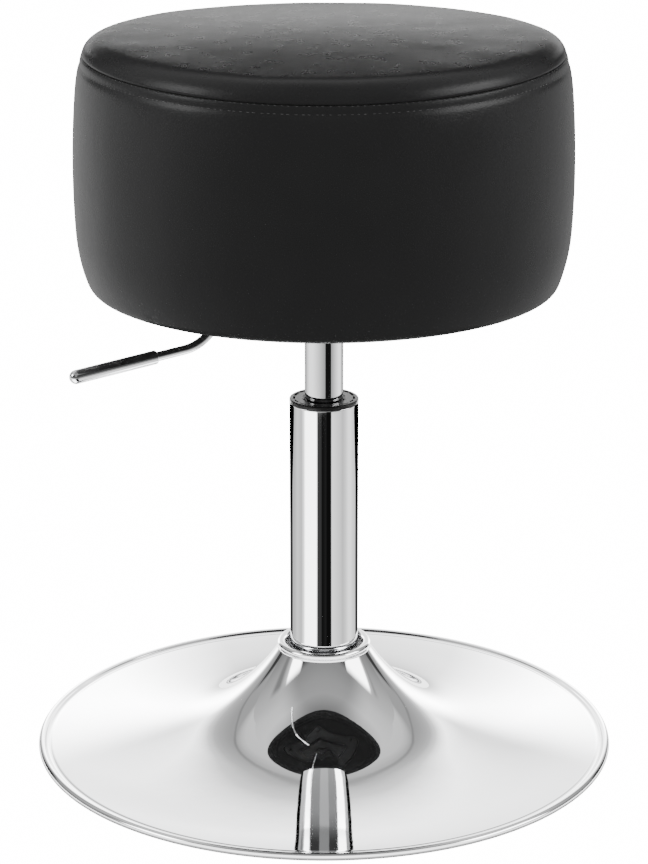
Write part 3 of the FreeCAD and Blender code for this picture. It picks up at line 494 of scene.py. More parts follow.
def noise(tree, scale, detail=3.0, roughness=0.5, stretch=(1, 1, 1)):
    """A noise texture in the piece's own coordinates, stretched per axis."""
    place = add(tree, "Mapping", {"Vector": own_place(tree), "Scale": stretch}).outputs["Vector"]
    inputs = {"Vector": place, "Scale": scale, "Detail": detail, "Roughness": roughness}
    return add(tree, "TexNoise", inputs).outputs["Fac"]


def ranged(tree, value, low, high):
    """Maps a 0 to 1 texture value to a range."""
    return add(tree, "MapRange", {"Value": value, "To Min": low, "To Max": high}).outputs["Result"]


def two_colors(tree, factor, first, second):
    ramp = add(tree, "ValToRGB", {"Fac": factor})
    for element, color in zip(ramp.color_ramp.elements, (first, second)):
        element.color = (*color, 1)
    return ramp.outputs["Color"]


def bumped(tree, value, strength, height, under=None):
    """A normal that a texture value tilts, on top of the one under it."""
    inputs = {"Height": value, "Strength": strength, "Distance": height}
    if under is not None:
        inputs["Normal"] = under
    return add(tree, "Bump", inputs).outputs["Normal"]


# Materials

def cells(tree, scale, feature, randomness=1.0, warp=0.0, width=None):
    """A cell texture in the piece's own coordinates, warped by so much, and cut off at a width."""
    place = own_place(tree)
    if warp:
        waves = noise(tree, WARP_SCALE, detail=2.0).node.outputs["Color"]
        shift = {0: waves, 1: (warp,) * 3, 2: place}
        place = add(tree, "VectorMath", shift, operation="MULTIPLY_ADD").outputs["Vector"]
    inputs = {"Vector": place, "Scale": scale, "Randomness": randomness}
    distance = add(tree, "TexVoronoi", inputs, feature=feature).outputs["Distance"]
    if width is None:
        return distance
    return add(tree, "MapRange", {"Value": distance, "From Max": width}).outputs["Result"]


def finish(name, colors, tone, roughness, bumps, gloss=None, gleam=0.5, metallic=0.0):
    """A material of two close tones, whose gloss may be uneven and whose bumps lie one on another."""
    material = bpy.data.materials.new(name)
    material.use_nodes = True
    tree = material.node_tree
    if gloss:
        roughness = ranged(tree, noise(tree, **gloss), *roughness)
    normal = None
    for strength, height, values in bumps:
        texture = cells if "feature" in values else noise
        normal = bumped(tree, texture(tree, **values), strength, height, normal)
    feed(tree, tree.nodes["Principled BSDF"], {
        "Metallic": metallic,
        "Base Color": two_colors(tree, noise(tree, **tone), *colors),
        "Roughness": roughness,
        "Specular IOR Level": gleam,
        "Normal": normal,
    })
    return material


def plain(colors, roughness, scale, bump, stretch=(1, 1, 1), **others):
    """A painted, moulded, cast or sawn finish, with a fine bump."""
    gloss = dict(scale=2 * scale, stretch=stretch)
    return dict(
        colors=colors,
        tone=dict(scale=scale, detail=5.0, roughness=0.6, stretch=stretch),
        gloss=gloss,
        roughness=(0.8 * roughness, min(1.0, 1.25 * roughness)),
        bumps=[(bump, 0.4 * MM, gloss)],
        **others,
    )


# Finishes: textures repeat so many times a metre, and bumps are given by strength, height and texture.
# Chrome plate has a hint of orange peel, and faint wiping marks in its gloss
CHROME = dict(
    colors=((0.90, 0.905, 0.915), (0.94, 0.945, 0.95)),
    tone=dict(scale=60.0, detail=4.0),
    gloss=dict(scale=90.0, detail=5.0, roughness=0.6, stretch=(1, 1, 0.25)),
    roughness=(0.012, 0.05),
    metallic=1.0,
)
PEEL = dict(scale=55.0, detail=2.0)
FIBRES = dict(scale=260.0, detail=6.0, roughness=0.7, stretch=(1, 3, 1))
GRAIN = dict(scale=40.0, detail=6.0, roughness=0.65, stretch=(1, 9, 9))
WARP_SCALE = 420.0
FINISHES = {
    "chrome": dict(**CHROME, bumps=[(0.02, 0.6 * MM, PEEL)]),
    "base_chrome": dict(**CHROME, bumps=[(0.03, 0.6 * MM, PEEL)]),
    # Coated leather: pebbled cells of about a millimetre, with fine creases between them, and a slow swell
    "black_leather": dict(
        colors=((0.0140, 0.0140, 0.0142), (0.0180, 0.0180, 0.0183)),
        tone=dict(scale=18.0, detail=4.0),
        gloss=dict(scale=70.0, detail=5.0),
        roughness=(0.25, 0.31),
        gleam=0.15,
        bumps=[
            (0.20, 0.25 * MM, dict(scale=900.0, feature="SMOOTH_F1", warp=0.5 * MM)),
            (0.12, 0.2 * MM, dict(scale=430.0, feature="DISTANCE_TO_EDGE", warp=0.5 * MM, width=0.12)),
            (0.10, 4.0 * MM, dict(scale=26.0)),
        ],
    ),
    # Thin bonded cloth: crossing fibres with a fine embossed grid
    "felt": dict(
        colors=((0.006,) * 3, (0.014,) * 3),
        tone=FIBRES,
        roughness=0.9,
        gleam=0.1,
        bumps=[(0.3, 0.3 * MM, dict(scale=620.0, feature="F1", randomness=0.15)), (0.3, 0.3 * MM, FIBRES)],
    ),
    "plywood": dict(
        colors=((0.42, 0.29, 0.16), (0.72, 0.56, 0.38)),
        tone=GRAIN,
        roughness=0.7,
        bumps=[(0.25, 0.5 * MM, GRAIN)],
    ),
    "thread": plain(((0.02,) * 3, (0.07,) * 3), roughness=0.6, scale=900.0, bump=0.4),
    "black_plastic": plain(((0.006,) * 3, (0.012,) * 3), roughness=0.32, scale=300.0, bump=0.05, gleam=0.3),
    "black_paint": plain(((0.006,) * 3, (0.010,) * 3), roughness=0.5, scale=240.0, bump=0.12, gleam=0.2),
    "dark_steel": plain(((0.03, 0.03, 0.032), (0.07, 0.07, 0.075)), roughness=0.5, scale=200.0, bump=0.1),
    "bare_steel": plain(
        ((0.45, 0.45, 0.46), (0.68, 0.68, 0.69)), 0.32, 300.0, 0.06, stretch=(1, 1, 6), metallic=1.0,
    ),
    "rubber": plain(((0.018,) * 3, (0.035,) * 3), roughness=0.75, scale=220.0, bump=0.2),
    "foam": plain(((0.78, 0.74, 0.62), (0.9, 0.87, 0.77)), roughness=0.95, scale=700.0, bump=0.6),
}


# Seat

def seam_lift(angle):
    """How far the seam runs above its front height, at an angle round the seat."""
    return SEAM_LIFT_AT_SIDES * math.cos(angle) ** 2


def eased(share):
    """Goes softly from 0 to 1 as a share does."""
    held = min(1.0, max(0.0, share))
    return held * held * (3 - 2 * held)


def near_seam(height, radius):
    """1 at the seam, easing to 0 above and below it and towards the middle of the top."""
    inward = eased((radius - SEAM_LIFT_START) / (SEAM_LIFT_FULL - SEAM_LIFT_START))
    return inward * eased(1 - abs(height - SEAT_SEAM[1]) / SEAM_REACH)


def smooth_profile(points):
    return softened(resampled(points, PROFILE_STEP), PROFILE_STEP, PROFILE_SOFTNESS)


def band_profile():
    """The side band from its hem under the seat, round the foot and up the side to the seam."""
    points = [(HEM_RADIUS, SEAT_BOTTOM), HEM_FLAT_END, SEAT_FOOT]
    for arc in (
        (SEAT_FOOT, SEAT_FOOT_TURN, SEAT_FOOT_SIDE),
        (SEAT_FOOT_SIDE, SEAT_LOW_SIDE, SEAT_SIDE_START),
        (SEAT_SIDE_START, SEAT_WIDEST, SEAT_SHOULDER_LOW),
        (SEAT_SHOULDER_LOW, SEAT_SHOULDER_MID, SEAT_SEAM),
    ):
        points += arc_points(*arc, PROFILE_STEP)
    return smooth_profile(points)


def crown_profile():
    """The top panel from the seam, over its rounded edge and in to the middle."""
    rise = SEAT_CROWN_TOP - SEAT_CROWN_EDGE[1]
    radius = (SEAT_CROWN_EDGE[0] ** 2 + rise**2) / (2 * rise)
    half = math.asin(SEAT_CROWN_EDGE[0] / radius) / 2
    middle = (radius * math.sin(half), SEAT_CROWN_TOP - radius * (1 - math.cos(half)))
    points = [SEAT_SEAM]
    points += arc_points(SEAT_SEAM, SEAT_CROWN_TURN, SEAT_CROWN_EDGE, PROFILE_STEP)
    points += arc_points(SEAT_CROWN_EDGE, middle, (0.0, SEAT_CROWN_TOP), PROFILE_STEP)
    return smooth_profile(points)


def panel_dip(distance, angle, stitched):
    """How far a panel lies under its plain outline, at a distance from the seam."""
    dip = 0.0
    if distance < SEAM_LIP:
        share = 1 - distance / SEAM_LIP
        dip += SEAM_DEPTH * (1 - math.sqrt(max(0.0, 1 - share * share)))
    if stitched:
        across = (distance - STITCH_ROW_BELOW) / STITCH_CHANNEL_WIDTH
        dip += STITCH_CHANNEL_DEPTH * math.exp(-0.5 * across * across)
        beside = (distance - STITCH_ROW_BELOW / 2) / (STITCH_ROW_BELOW / 3)
        pucker = PUCKER_DEPTH * (1 - math.cos(angle * STITCH_COUNT)) / 2
        dip += pucker * math.exp(-0.5 * beside * beside)
    return dip


def slack(angle, height, radius):
    """The slow unevenness of a hand-stretched cover, in metres."""
    lean = 0.0
    for share, waves, turn, start in SLACK_WAVES:
        lean += share * math.sin(waves * angle + turn * height + start)
    return SLACK_DEPTH * lean * min(1.0, radius / SLACK_FADE_RADIUS) ** 2


def panel(profile, stitched):
    """The outer and inner skins of one panel of the cover, whose edge rolls in at the seam."""
    distances = run(profile[::-1])[::-1] if stitched else run(profile)
    outer, inner = [], []
    for (radius, height), (across, up), away in zip(profile, outward(profile), distances):
        lift = near_seam(height, radius)
        from_foot = max(0.0, height - SEAT_BOTTOM) / SLACK_FROM_FOOT
        ease = min(1.0, away / SLACK_FROM_SEAM) * min(1.0, from_foot)
        outer.append([])
        inner.append([])
        for angle in full_turn(SEAT_TURNS):
            dip = panel_dip(away, angle, stitched) + ease * slack(angle, height, radius)
            z = height + lift * seam_lift(angle)
            for ring, depth in ((outer[-1], dip), (inner[-1], dip + COVER_THICKNESS)):
                ring.append(around(max(0.0, radius - across * depth), angle, z - up * depth))
    return outer, inner


def closed_top(name, outer, inner):
    """Joins the skins of the top panel, each of which ends in a point on the axis."""
    skins = outer[:-1][::-1] + inner[:-1]
    vertices = [point for ring in skins for point in ring]
    faces = []
    for i in range(len(skins) - 1):
        faces += ring_faces((i + 1) * SEAT_TURNS, i * SEAT_TURNS, SEAT_TURNS)
    last = (len(skins) - 1) * SEAT_TURNS
    for first, ring, flip in ((0, outer[-1], False), (last, inner[-1], True)):
        faces += fan_faces(first, len(vertices), SEAT_TURNS, flip)
        vertices.append((0.0, 0.0, ring[0][2]))
    return new_mesh(name, vertices, faces)


def stitches(name, profile, away, length, radius, tilt):
    """A row of thread stitches on the side band, each a short bowed strand whose ends dive into the cover."""
    distances = run(profile[::-1])
    columns = np.column_stack([profile, outward(profile)])[::-1].T

    def strand_point(below, angle, sink):
        reach, height, across, up = (np.interp(below, distances, column) for column in columns)
        depth = panel_dip(below, angle, True) + sink
        lifted = height + near_seam(height, reach) * seam_lift(angle)
        point = Vector(around(reach - across * depth, angle, lifted - up * depth))
        return point, Vector(around(across, angle, up))

    vertices, faces = [], []
    for index in range(STITCH_COUNT):
        wobble = sum(share * math.sin(index * turn + start) for share, turn, start in STITCH_WOBBLES)
        middle = math.tau * (index + wobble) / STITCH_COUNT
        half_turn = length / 2 / SEAT_SEAM[0]
        start = len(vertices)
        for step in range(STITCH_STEPS):
            share = step / (STITCH_STEPS - 1) * 2 - 1
            below = max(0.0, away + tilt * share * length / 2)
            dive = STITCH_SINK + STITCH_DIVE_SHARE * radius * share**4
            point, normal = strand_point(below, middle + share * half_turn, dive)
            side = Vector((-math.sin(middle), math.cos(middle), 0)).cross(normal).normalized()
            thick = radius * (1 - STITCH_THIN_SHARE * share**2)
            ring = len(vertices)
            for turn in full_turn(STITCH_SIDES):
                vertices.append(point + thick * (math.cos(turn) * normal + math.sin(turn) * side))
            if step:
                faces += ring_faces(ring - STITCH_SIDES, ring, STITCH_SIDES)
        faces.append(tuple(range(start, start + STITCH_SIDES))[::-1])
        faces.append(tuple(range(ring, ring + STITCH_SIDES)))
    return new_mesh(name, vertices, faces)


def make_seat(leather, thread):
    band = band_profile()
    outer, inner = panel(band, True)
    side = turned_grid("seat_side", outer + inner[::-1])
    top = closed_top("seat_top", *panel(crown_profile(), False))
    for piece, nodes in ((side, ("cover_band", "side_foam")), (top, ("cover_top", "top_foam"))):
        dress(piece, leather)
        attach(piece, "seat")
        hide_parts(*nodes)
    for name, away, length, radius, tilt in (
        ("top_stitching", STITCH_ROW_BELOW, STITCH_LENGTH, STITCH_RADIUS, 0.0),
        ("seam_stitching", SEAM_STITCH_BELOW, SEAM_STITCH_LENGTH, SEAM_STITCH_RADIUS, SEAM_STITCH_TILT),
    ):
        row = stitches(name, band, away, length, radius, tilt)
        dress(row, thread)
        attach(row, "seat")
    return [side, top]


# Base and column

def base_profile():
    """The dish's outer skin from inside its neck, over the rolled lip, down to the bead at its rim."""
    lip = (LIP_OUTER_RADIUS - LIP_RADIUS, LIP_CENTER_HEIGHT)
    bead = (BASE_RADIUS - BEAD_RADIUS, BEAD_LIFT + BEAD_RADIUS)
    lip_foot = polar(lip, LIP_RADIUS, LIP_FOOT_ANGLE)
    bead_foot = polar(bead, BEAD_RADIUS, BEAD_JOIN_ANGLE)
    rim = (bead_foot[0] - VALLEY_WIDTH, bead_foot[1] - VALLEY_DEPTH)
    reach, fall = rim[0] - lip_foot[0], lip_foot[1] - rim[1]
    points = [lip_foot]
    points += [(lip_foot[0] + out * reach, rim[1] + up * fall) for out, up in DISH_SHARES]
    points.append(rim)
    slopes = [polar((0, 0), 1, -angle) for angle in (NECK_SLOPE_ANGLE, RIM_SLOPE_ANGLE)]
    skin = [(lip[0] - LIP_RADIUS, lip[1] - LIP_SKIRT)]
    skin += [polar(lip, LIP_RADIUS, angle) for angle in np.linspace(180, LIP_FOOT_ANGLE, LIP_STEPS)]
    skin += clamped_spline(points, *slopes, DISH_STEPS)[1:]
    valley = ((rim[0] + bead_foot[0]) / 2, rim[1] - VALLEY_DEPTH / 4)
    skin += arc_points(rim, valley, bead_foot, VALLEY_WIDTH / 8)
    bead_angles = np.linspace(BEAD_JOIN_ANGLE, BEAD_END_ANGLE, BEAD_STEPS)[1:]
    skin += [polar(bead, BEAD_RADIUS, angle) for angle in bead_angles]
    return np.array(skin)


def make_base(chrome):
    skin = base_profile()
    inside = skin + outward(skin) * BASE_WALL
    base = turned("base_trumpet", np.vstack([skin, inside[::-1]]), BASE_TURNS)
    dress(base, chrome)
    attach(base, "base")
    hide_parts("base_shell")
    return base


def make_column(chrome):
    foot = COLUMN_RADIUS - COLUMN_TAPER_INSET
    taper_top = COLUMN_BOTTOM + COLUMN_TAPER
    bore = COLUMN_RADIUS - COLUMN_WALL
    mouth = (COLUMN_RADIUS - COLUMN_MOUTH_ROUND, COLUMN_TOP - COLUMN_MOUTH_ROUND)
    profile = [(foot, COLUMN_BOTTOM), (COLUMN_RADIUS, taper_top)]
    profile += [polar(mouth, COLUMN_MOUTH_ROUND, angle) for angle in ROUND_ANGLES]
    profile += [(bore, COLUMN_TOP), (bore, taper_top), (foot - COLUMN_WALL, COLUMN_BOTTOM)]
    column = turned("column_chrome", braced(profile), TUBE_TURNS)
    crease(column)
    dress(column, chrome)
    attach(column, "base")
    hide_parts("column_tube")
    return column


def make_cylinder(chrome):
    bore = CYLINDER_RADIUS - CYLINDER_WALL
    top_radius = CYLINDER_RADIUS - CYLINDER_CONE_INSET
    low = (CYLINDER_RADIUS - CYLINDER_ROUND, CYLINDER_BOTTOM + CYLINDER_ROUND)
    high = (top_radius - CYLINDER_ROUND, CYLINDER_TOP - CYLINDER_ROUND)
    profile = [(bore, CYLINDER_BOTTOM)]
    profile += [polar(low, CYLINDER_ROUND, angle) for angle in (-90, -60, -30, 0)]
    profile.append((CYLINDER_RADIUS, CYLINDER_TOP - CYLINDER_CONE))
    profile += [polar(high, CYLINDER_ROUND, angle) for angle in (0, 30, 60, 90)]
    profile.append((bore, CYLINDER_TOP))
    cylinder = turned("cylinder_chrome", braced(profile), TUBE_TURNS)
    crease(cylinder)
    dress(cylinder, chrome)
    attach(cylinder, "seat")
    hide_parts("gas_cylinder")
    return cylinder


def make_bush(plastic):
    """The plastic guide in the column's mouth: a flat collar flush with the tube, with a ring of slots."""
    bore, sleeve = CYLINDER_RADIUS + COLLAR_BORE_AIR, COLUMN_RADIUS - COLUMN_WALL - BUSH_AIR
    top, low = COLUMN_TOP + COLLAR_HEIGHT, COLUMN_TOP - BUSH_LENGTH
    face = top - COLLAR_LIP_DROP
    bend = (COLLAR_RADIUS - COLLAR_ROUND, top - COLLAR_ROUND)
    slot_edges = (SLOT_RADIUS + SLOT_WIDTH / 2, SLOT_RADIUS - SLOT_WIDTH / 2)
    profile = [(bore, low), (sleeve, low), (sleeve, COLUMN_TOP), (COLLAR_RADIUS, COLUMN_TOP)]
    profile += [polar(bend, COLLAR_ROUND, angle) for angle in ROUND_ANGLES]
    profile += [(bend[0] - COLLAR_LIP, top), (bend[0] - COLLAR_LIP - COLLAR_LIP_DROP, face)]
    profile += [(slot_edges[0] + BUSH_AIR, face), (slot_edges[0], face), (slot_edges[1], face)]
    profile += [(slot_edges[1] - BUSH_AIR, face), (COLLAR_FACE_EDGE, face), (bore, face - COLLAR_FACE_DROP)]
    half_turn, half_pitch = SLOT_LENGTH / 2 / SLOT_RADIUS, math.pi / SLOT_COUNT
    rings = []
    for radius, height in profile:
        ring = []
        for angle in full_turn(BUSH_TURNS):
            from_slot = abs((angle + half_pitch) % (2 * half_pitch) - half_pitch)
            sunk = SLOT_DEPTH if radius in slot_edges and from_slot < half_turn else 0.0
            ring.append(around(radius, angle, height - sunk))
        rings.append(ring)
    bush = turned_grid("collar_bush", rings)
    crease(bush)
    dress(bush, plastic)
    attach(bush, "base")
    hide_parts("guide_bush")


# Lever

def lever_place(reach, height):
    return Vector(around(reach, math.radians(LEVER_HEADING), height))


def lever_line():
    """The middle line of the rod in (reach, height), with its two bends."""
    start, knee, elbow, tip = (Vector(point) for point in (LEVER_START, LEVER_KNEE, LEVER_ELBOW, LEVER_TIP))
    line = [tuple(start)]
    corners = ((start, knee, elbow, LEVER_KNEE_BEND), (knee, elbow, tip, LEVER_ELBOW_BEND))
    for before, corner, after, bend in corners:
        back, on = (before - corner).normalized(), (after - corner).normalized()
        half = back.angle(on) / 2
        trim = bend / math.tan(half)
        via = corner + (back + on).normalized() * (bend / math.sin(half) - bend)
        first, last = tuple(corner + back * trim), tuple(corner + on * trim)
        line.append(first)
        line += arc_points(first, tuple(via), last, LEVER_BEND_STEP)
    line.append(tuple(tip - (tip - elbow).normalized() * GRIP_RADIUS))
    return line


def tube_along(name, line, radii, sides):
    """A closed round tube along points of the lever's plane, with a radius at each point."""
    turn = math.radians(LEVER_HEADING)
    side = Vector((-math.sin(turn), math.cos(turn), 0))
    vertices, faces = [], []
    for index, (reach, height) in enumerate(line):
        before, after = line[max(0, index - 1)], line[min(len(line) - 1, index + 1)]
        up = side.cross(lever_place(*after) - lever_place(*before)).normalized()
        middle = lever_place(reach, height)
        for a in full_turn(sides):
            vertices.append(middle + radii[index] * (math.cos(a) * up + math.sin(a) * side))
        if index:
            faces += ring_faces((index - 1) * sides, index * sides, sides, flip=True)
    faces.append(tuple(range(sides)))
    faces.append(tuple(range(len(vertices) - sides, len(vertices)))[::-1])
    return new_mesh(name, vertices, faces)


def make_lever(chrome):
    line = braced(lever_line())
    rod = tube_along("lever_bar", line, [LEVER_ROD_RADIUS] * len(line), LEVER_SIDES)
    crease(rod)
    tip, elbow = Vector(LEVER_TIP), Vector(LEVER_ELBOW)
    start = elbow + (tip - elbow) * ((GRIP_START_REACH - elbow.x) / (tip.x - elbow.x))
    direction, length = (tip - start).normalized(), (tip - start).length
    stations = [(0.0, LEVER_ROD_RADIUS * GRIP_BORE_SHARE), (0.0, GRIP_RADIUS - GRIP_EDGE)]
    for a in np.radians((22.5, 45, 67.5, 90)):
        stations.append((GRIP_EDGE * (1 - math.cos(a)), GRIP_RADIUS - GRIP_EDGE * (1 - math.sin(a))))
    for step in range(GRIP_END_STEPS):
        a = math.radians(90) * step / GRIP_END_STEPS
        stations.append((length - GRIP_RADIUS * (1 - math.sin(a)), GRIP_RADIUS * math.cos(a)))
    stations = braced(stations)
    line = [tuple(start + direction * along) for along, _ in stations]
    grip = tube_along("lever_sleeve", line, [radius for _, radius in stations], GRIP_SIDES)
    crease(grip, GRIP_CREASE_ANGLE)
    for piece, node in ((rod, "lever_rod"), (grip, "lever_grip")):
        dress(piece, chrome)
        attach(piece, "lever")
        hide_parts(node)


# Under the seat

def cloth_rise(radius, angle):
    """How far the cloth lies above its edge."""
    step = COVER_THICKNESS / (1 + math.exp((radius - HEM_RADIUS + CLOTH_STEP_INSET) / CLOTH_STEP_SOFTNESS))
    near_edge = math.exp(-((CLOTH_RADIUS - radius) / CLOTH_RIPPLE_REACH) ** 2)
    ripple = CLOTH_RIPPLE * math.sin(CLOTH_RIPPLE_COUNT * angle) * near_edge
    waves, turn = CLOTH_SAG_WAVES
    sag = CLOTH_SAG * math.sin(waves * angle + turn * radius)
    return step + ripple + sag * math.sin(math.pi * min(1.0, radius / HEM_RADIUS))


def make_cloth(material):
    """The bonded cloth stapled under the seat."""
    low = SEAT_BOTTOM - CLOTH_THICKNESS
    vertices, faces = [], []
    for skin in (0.0, CLOTH_THICKNESS):
        vertices.append((0.0, 0.0, low + COVER_THICKNESS + skin))
        for i in range(1, CLOTH_RINGS + 1):
            r = CLOTH_RADIUS * i / CLOTH_RINGS
            vertices += [around(r, a, low + cloth_rise(r, a) + skin) for a in full_turn(CLOTH_TURNS)]
    layer = len(vertices) // 2
    starts = [1 + i * CLOTH_TURNS for i in range(CLOTH_RINGS)]
    faces += fan_faces(starts[0], 0, CLOTH_TURNS, flip=True)
    faces += fan_faces(layer + starts[0], layer, CLOTH_TURNS)
    for a, b in zip(starts, starts[1:]):
        faces += ring_faces(b, a, CLOTH_TURNS, flip=True)
        faces += ring_faces(layer + a, layer + b, CLOTH_TURNS, flip=True)
    faces += ring_faces(starts[-1], layer + starts[-1], CLOTH_TURNS)
    cloth = new_mesh("underside_cloth", vertices, faces)
    dress(cloth, material)
    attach(cloth, "seat")
    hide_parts("dust_cover")


# Nodes of the studio

def light_tree(owner):
    """The empty node tree of a light-giving material or world."""
    owner.use_nodes = True
    owner.node_tree.nodes.clear()
    return owner.node_tree


def light_material(name):
    material = bpy.data.materials.new(name)
    return material, light_tree(material)


def maths(tree, operation, first, second=None):
    """One arithmetic step on node outputs or plain numbers."""
    inputs = {0: first} if second is None else {0: first, 1: second}
    return add(tree, "Math", inputs, operation=operation).outputs["Value"]


def times(tree, first, *others):
    for other in others:
        first = maths(tree, "MULTIPLY", first, other)
    return first


def hypotenuse(tree, across, up):
    squares = [times(tree, side, side) for side in (across, up)]
    return maths(tree, "SQRT", maths(tree, "ADD", *squares))


def stepped(tree, value, low, high, first=0.0, second=1.0):
    """Goes softly from a first to a second number as a value goes from low to high, or the other way."""
    if low > high:
        low, high, first, second = high, low, second, first
    inputs = {"Value": value, "From Min": low, "From Max": high, "To Min": first, "To Max": second}
    return add(tree, "MapRange", inputs, interpolation_type="SMOOTHSTEP").outputs["Result"]


def levels_ramp(tree, value, levels):
    """Brightness by a value: the levels are (value, brightness) pairs."""
    low, high = levels[0][0], levels[-1][0]
    share = add(tree, "MapRange", {"Value": value, "From Min": low, "From Max": high}).outputs["Result"]
    ramp = add(tree, "ValToRGB", {"Fac": share})
    elements = ramp.color_ramp.elements
    while len(elements) < len(levels):
        elements.new(0.5)
    for element, (place, level) in zip(elements, levels):
        element.position = (place - low) / (high - low)
        element.color = (level, level, level, 1)
    return ramp.outputs["Color"]


def blended(tree, factor, first, second):
    """Goes from a first to a second brightness as the factor goes from 0 to 1."""
    return add(tree, "Mix", {"Factor": factor, 6: first, 7: second}, data_type="RGBA").outputs[2]


def axes(tree, coordinates="Object"):
    """The x, y and z of a place on a sheet, or of the direction in which the world is seen."""
    place = add(tree, "TexCoord").outputs[coordinates]
    return tuple(add(tree, "SeparateXYZ", {"Vector": place}).outputs)


def by_side(tree, x, y, z):
    return maths(tree, "ABSOLUTE", x)


def by_height(tree, x, y, z):
    return z


def by_bearing(tree, x, y, z):
    """Degrees round the axis from straight in front, positive to the right."""
    return maths(tree, "DEGREES", maths(tree, "ARCTAN2", x, times(tree, y, -1.0)))


def by_distance(tree, x, y, z):
    return hypotenuse(tree, x, y)


def by_ray(tree, mirrored, soft, kind="Emission", output="OutputMaterial"):
    """Joins what reflections see, what soft light sees and the white paper that the camera sees."""
    reflection, soft_light, paper = (
        add(tree, kind, {"Color": (1, 1, 1, 1), "Strength": strength}).outputs[0]
        for strength in (mirrored, soft, PAPER_WHITE)
    )
    ray = add(tree, "LightPath").outputs
    light = add(tree, "MixShader", {"Fac": ray["Is Glossy Ray"], 1: soft_light, 2: reflection}).outputs[0]
    seen = add(tree, "MixShader", {"Fac": ray["Is Camera Ray"], 1: light, 2: paper}).outputs[0]
    add(tree, output, {"Surface": seen})


# Studio

def world_light():
    """The room that reflections see round the paper: brighter high behind, dim overhead and in front."""
    world = bpy.data.worlds.new("studio")
    bpy.context.scene.world = world
    tree = light_tree(world)
    x, y, z = axes(tree, "Generated")
    height = maths(tree, "DEGREES", maths(tree, "ARCSINE", z))
    room = times(tree, levels_ramp(tree, height, ROOM_LEVELS), stepped(tree, y, *ROOM_FRONT))
    panels = levels_ramp(tree, by_bearing(tree, x, y, z), PANEL_LEVELS)
    low, top = (stepped(tree, height, *edge) for edge in (PANEL_LOW_EDGE, PANEL_TOP_EDGE))
    held = times(tree, low, top, stepped(tree, y, *PANEL_END))
    by_ray(tree, blended(tree, held, room, panels), ROOM_GLOW, "Background", "OutputWorld")


def dome_light(tree, x, z):
    """Painted light from below: a bright dome with a bright ring, and a glow at the top of the backdrop."""
    out = maths(tree, "DIVIDE", maths(tree, "SUBTRACT", x, DOME_MIDDLE), DOME_HALF_WIDTH)
    above = maths(tree, "MAXIMUM", maths(tree, "SUBTRACT", z, DOME_FOOT), 0.0)
    dome = hypotenuse(tree, out, maths(tree, "DIVIDE", above, DOME_HEIGHT))
    upper, lower = (levels_ramp(tree, dome, levels) for levels in (DOME_UPPER_LEVELS, DOME_LOWER_LEVELS))
    both = blended(tree, stepped(tree, z, *DOME_LOW_END), upper, lower)
    return maths(tree, "ADD", both, levels_ramp(tree, z, BACKDROP_TOP_LEVELS))


def dark_line_dimming(tree, x, z):
    """The share of the light that a thin line of painted shade with round corners leaves."""
    beside = maths(tree, "SUBTRACT", maths(tree, "ABSOLUTE", x), DARK_LINE_SIDE - DARK_LINE_ROUND)
    over = maths(tree, "SUBTRACT", z, DARK_LINE_TOP - DARK_LINE_ROUND)
    corner = hypotenuse(tree, maths(tree, "MAXIMUM", beside, 0.0), maths(tree, "MAXIMUM", over, 0.0))
    inner = maths(tree, "MINIMUM", maths(tree, "MAXIMUM", beside, over), 0.0)
    from_line = maths(tree, "SUBTRACT", maths(tree, "ADD", corner, inner), DARK_LINE_ROUND)
    return stepped(tree, maths(tree, "ABSOLUTE", from_line), 0.0, 2 * DARK_LINE_WIDTH, DARK_LINE_SHARE, 1.0)


def end_shade_dimming(tree, x, z):
    """The share of the light that the painted shade at both ends leaves."""
    beyond = stepped(tree, maths(tree, "ABSOLUTE", x), *END_SHADE_INNER_EDGE)
    outside = times(tree, beyond, stepped(tree, z, *END_SHADE_TOP_EDGE), 1 - END_SHADE_SHARE)
    return maths(tree, "SUBTRACT", 1.0, outside)


def backdrop_material():
    """Paper with a bright dome of painted light, which ends in a thin line of painted shade."""
    material, tree = light_material("paper_backdrop")
    x, _, z = axes(tree)
    shares = dark_line_dimming(tree, x, z), end_shade_dimming(tree, x, z), stepped(tree, z, *BACKDROP_FOOT)
    by_ray(tree, times(tree, dome_light(tree, x, z), *shares), ROOM_GLOW)
    return material


def only_reflected(sheet):
    sheet.visible_camera = False
    sheet.visible_diffuse = False
    sheet.visible_shadow = False


def shines_on(sheet, pieces, state="INCLUDE"):
    """Lets a sheet shine only on some pieces, or on all but them."""
    group = bpy.data.collections.new(sheet.name + "_pieces")
    for piece in pieces:
        group.objects.link(piece)
    for entry in group.collection_objects:
        entry.light_linking.link_state = state
    sheet.light_linking.receiver_collection = group


def make_backdrop():
    """A sheet of paper behind the stool, which only reflections see."""
    half = BACKDROP_HALF_WIDTH
    corners = upright(half, BACKDROP_DISTANCE, -BACKDROP_SINK, BACKDROP_HEIGHT)
    backdrop = new_mesh("backdrop", corners, [(0, 1, 3, 2)])
    dress(backdrop, backdrop_material())
    only_reflected(backdrop)
    return backdrop


def glow(name, corners, levels, value):
    """A sheet of light that reflections look through. Its brightness goes by a value of a place on it."""
    material, tree = light_material(name)
    light = add(tree, "Emission", {"Strength": levels_ramp(tree, value(tree, *axes(tree)), levels)})
    both = add(tree, "AddShader", {0: light.outputs[0], 1: add(tree, "BsdfTransparent").outputs[0]})
    add(tree, "OutputMaterial", {"Surface": both.outputs[0]})
    sheet = new_mesh(name, corners, [(i, i + 1, i + 3, i + 2) for i in range(0, len(corners) - 2, 2)])
    dress(sheet, material)
    only_reflected(sheet)
    return sheet


def upright(half, distance, low, high):
    """The corners of a standing sheet, as pairs of a low and a high one."""
    return [(side, distance, z) for side in (-half, half) for z in (low, high)]


def flat(half, height):
    """The corners of a lying square sheet, as pairs of a front and a back one."""
    return [(side, y, height) for side in (-half, half) for y in (-half, half)]


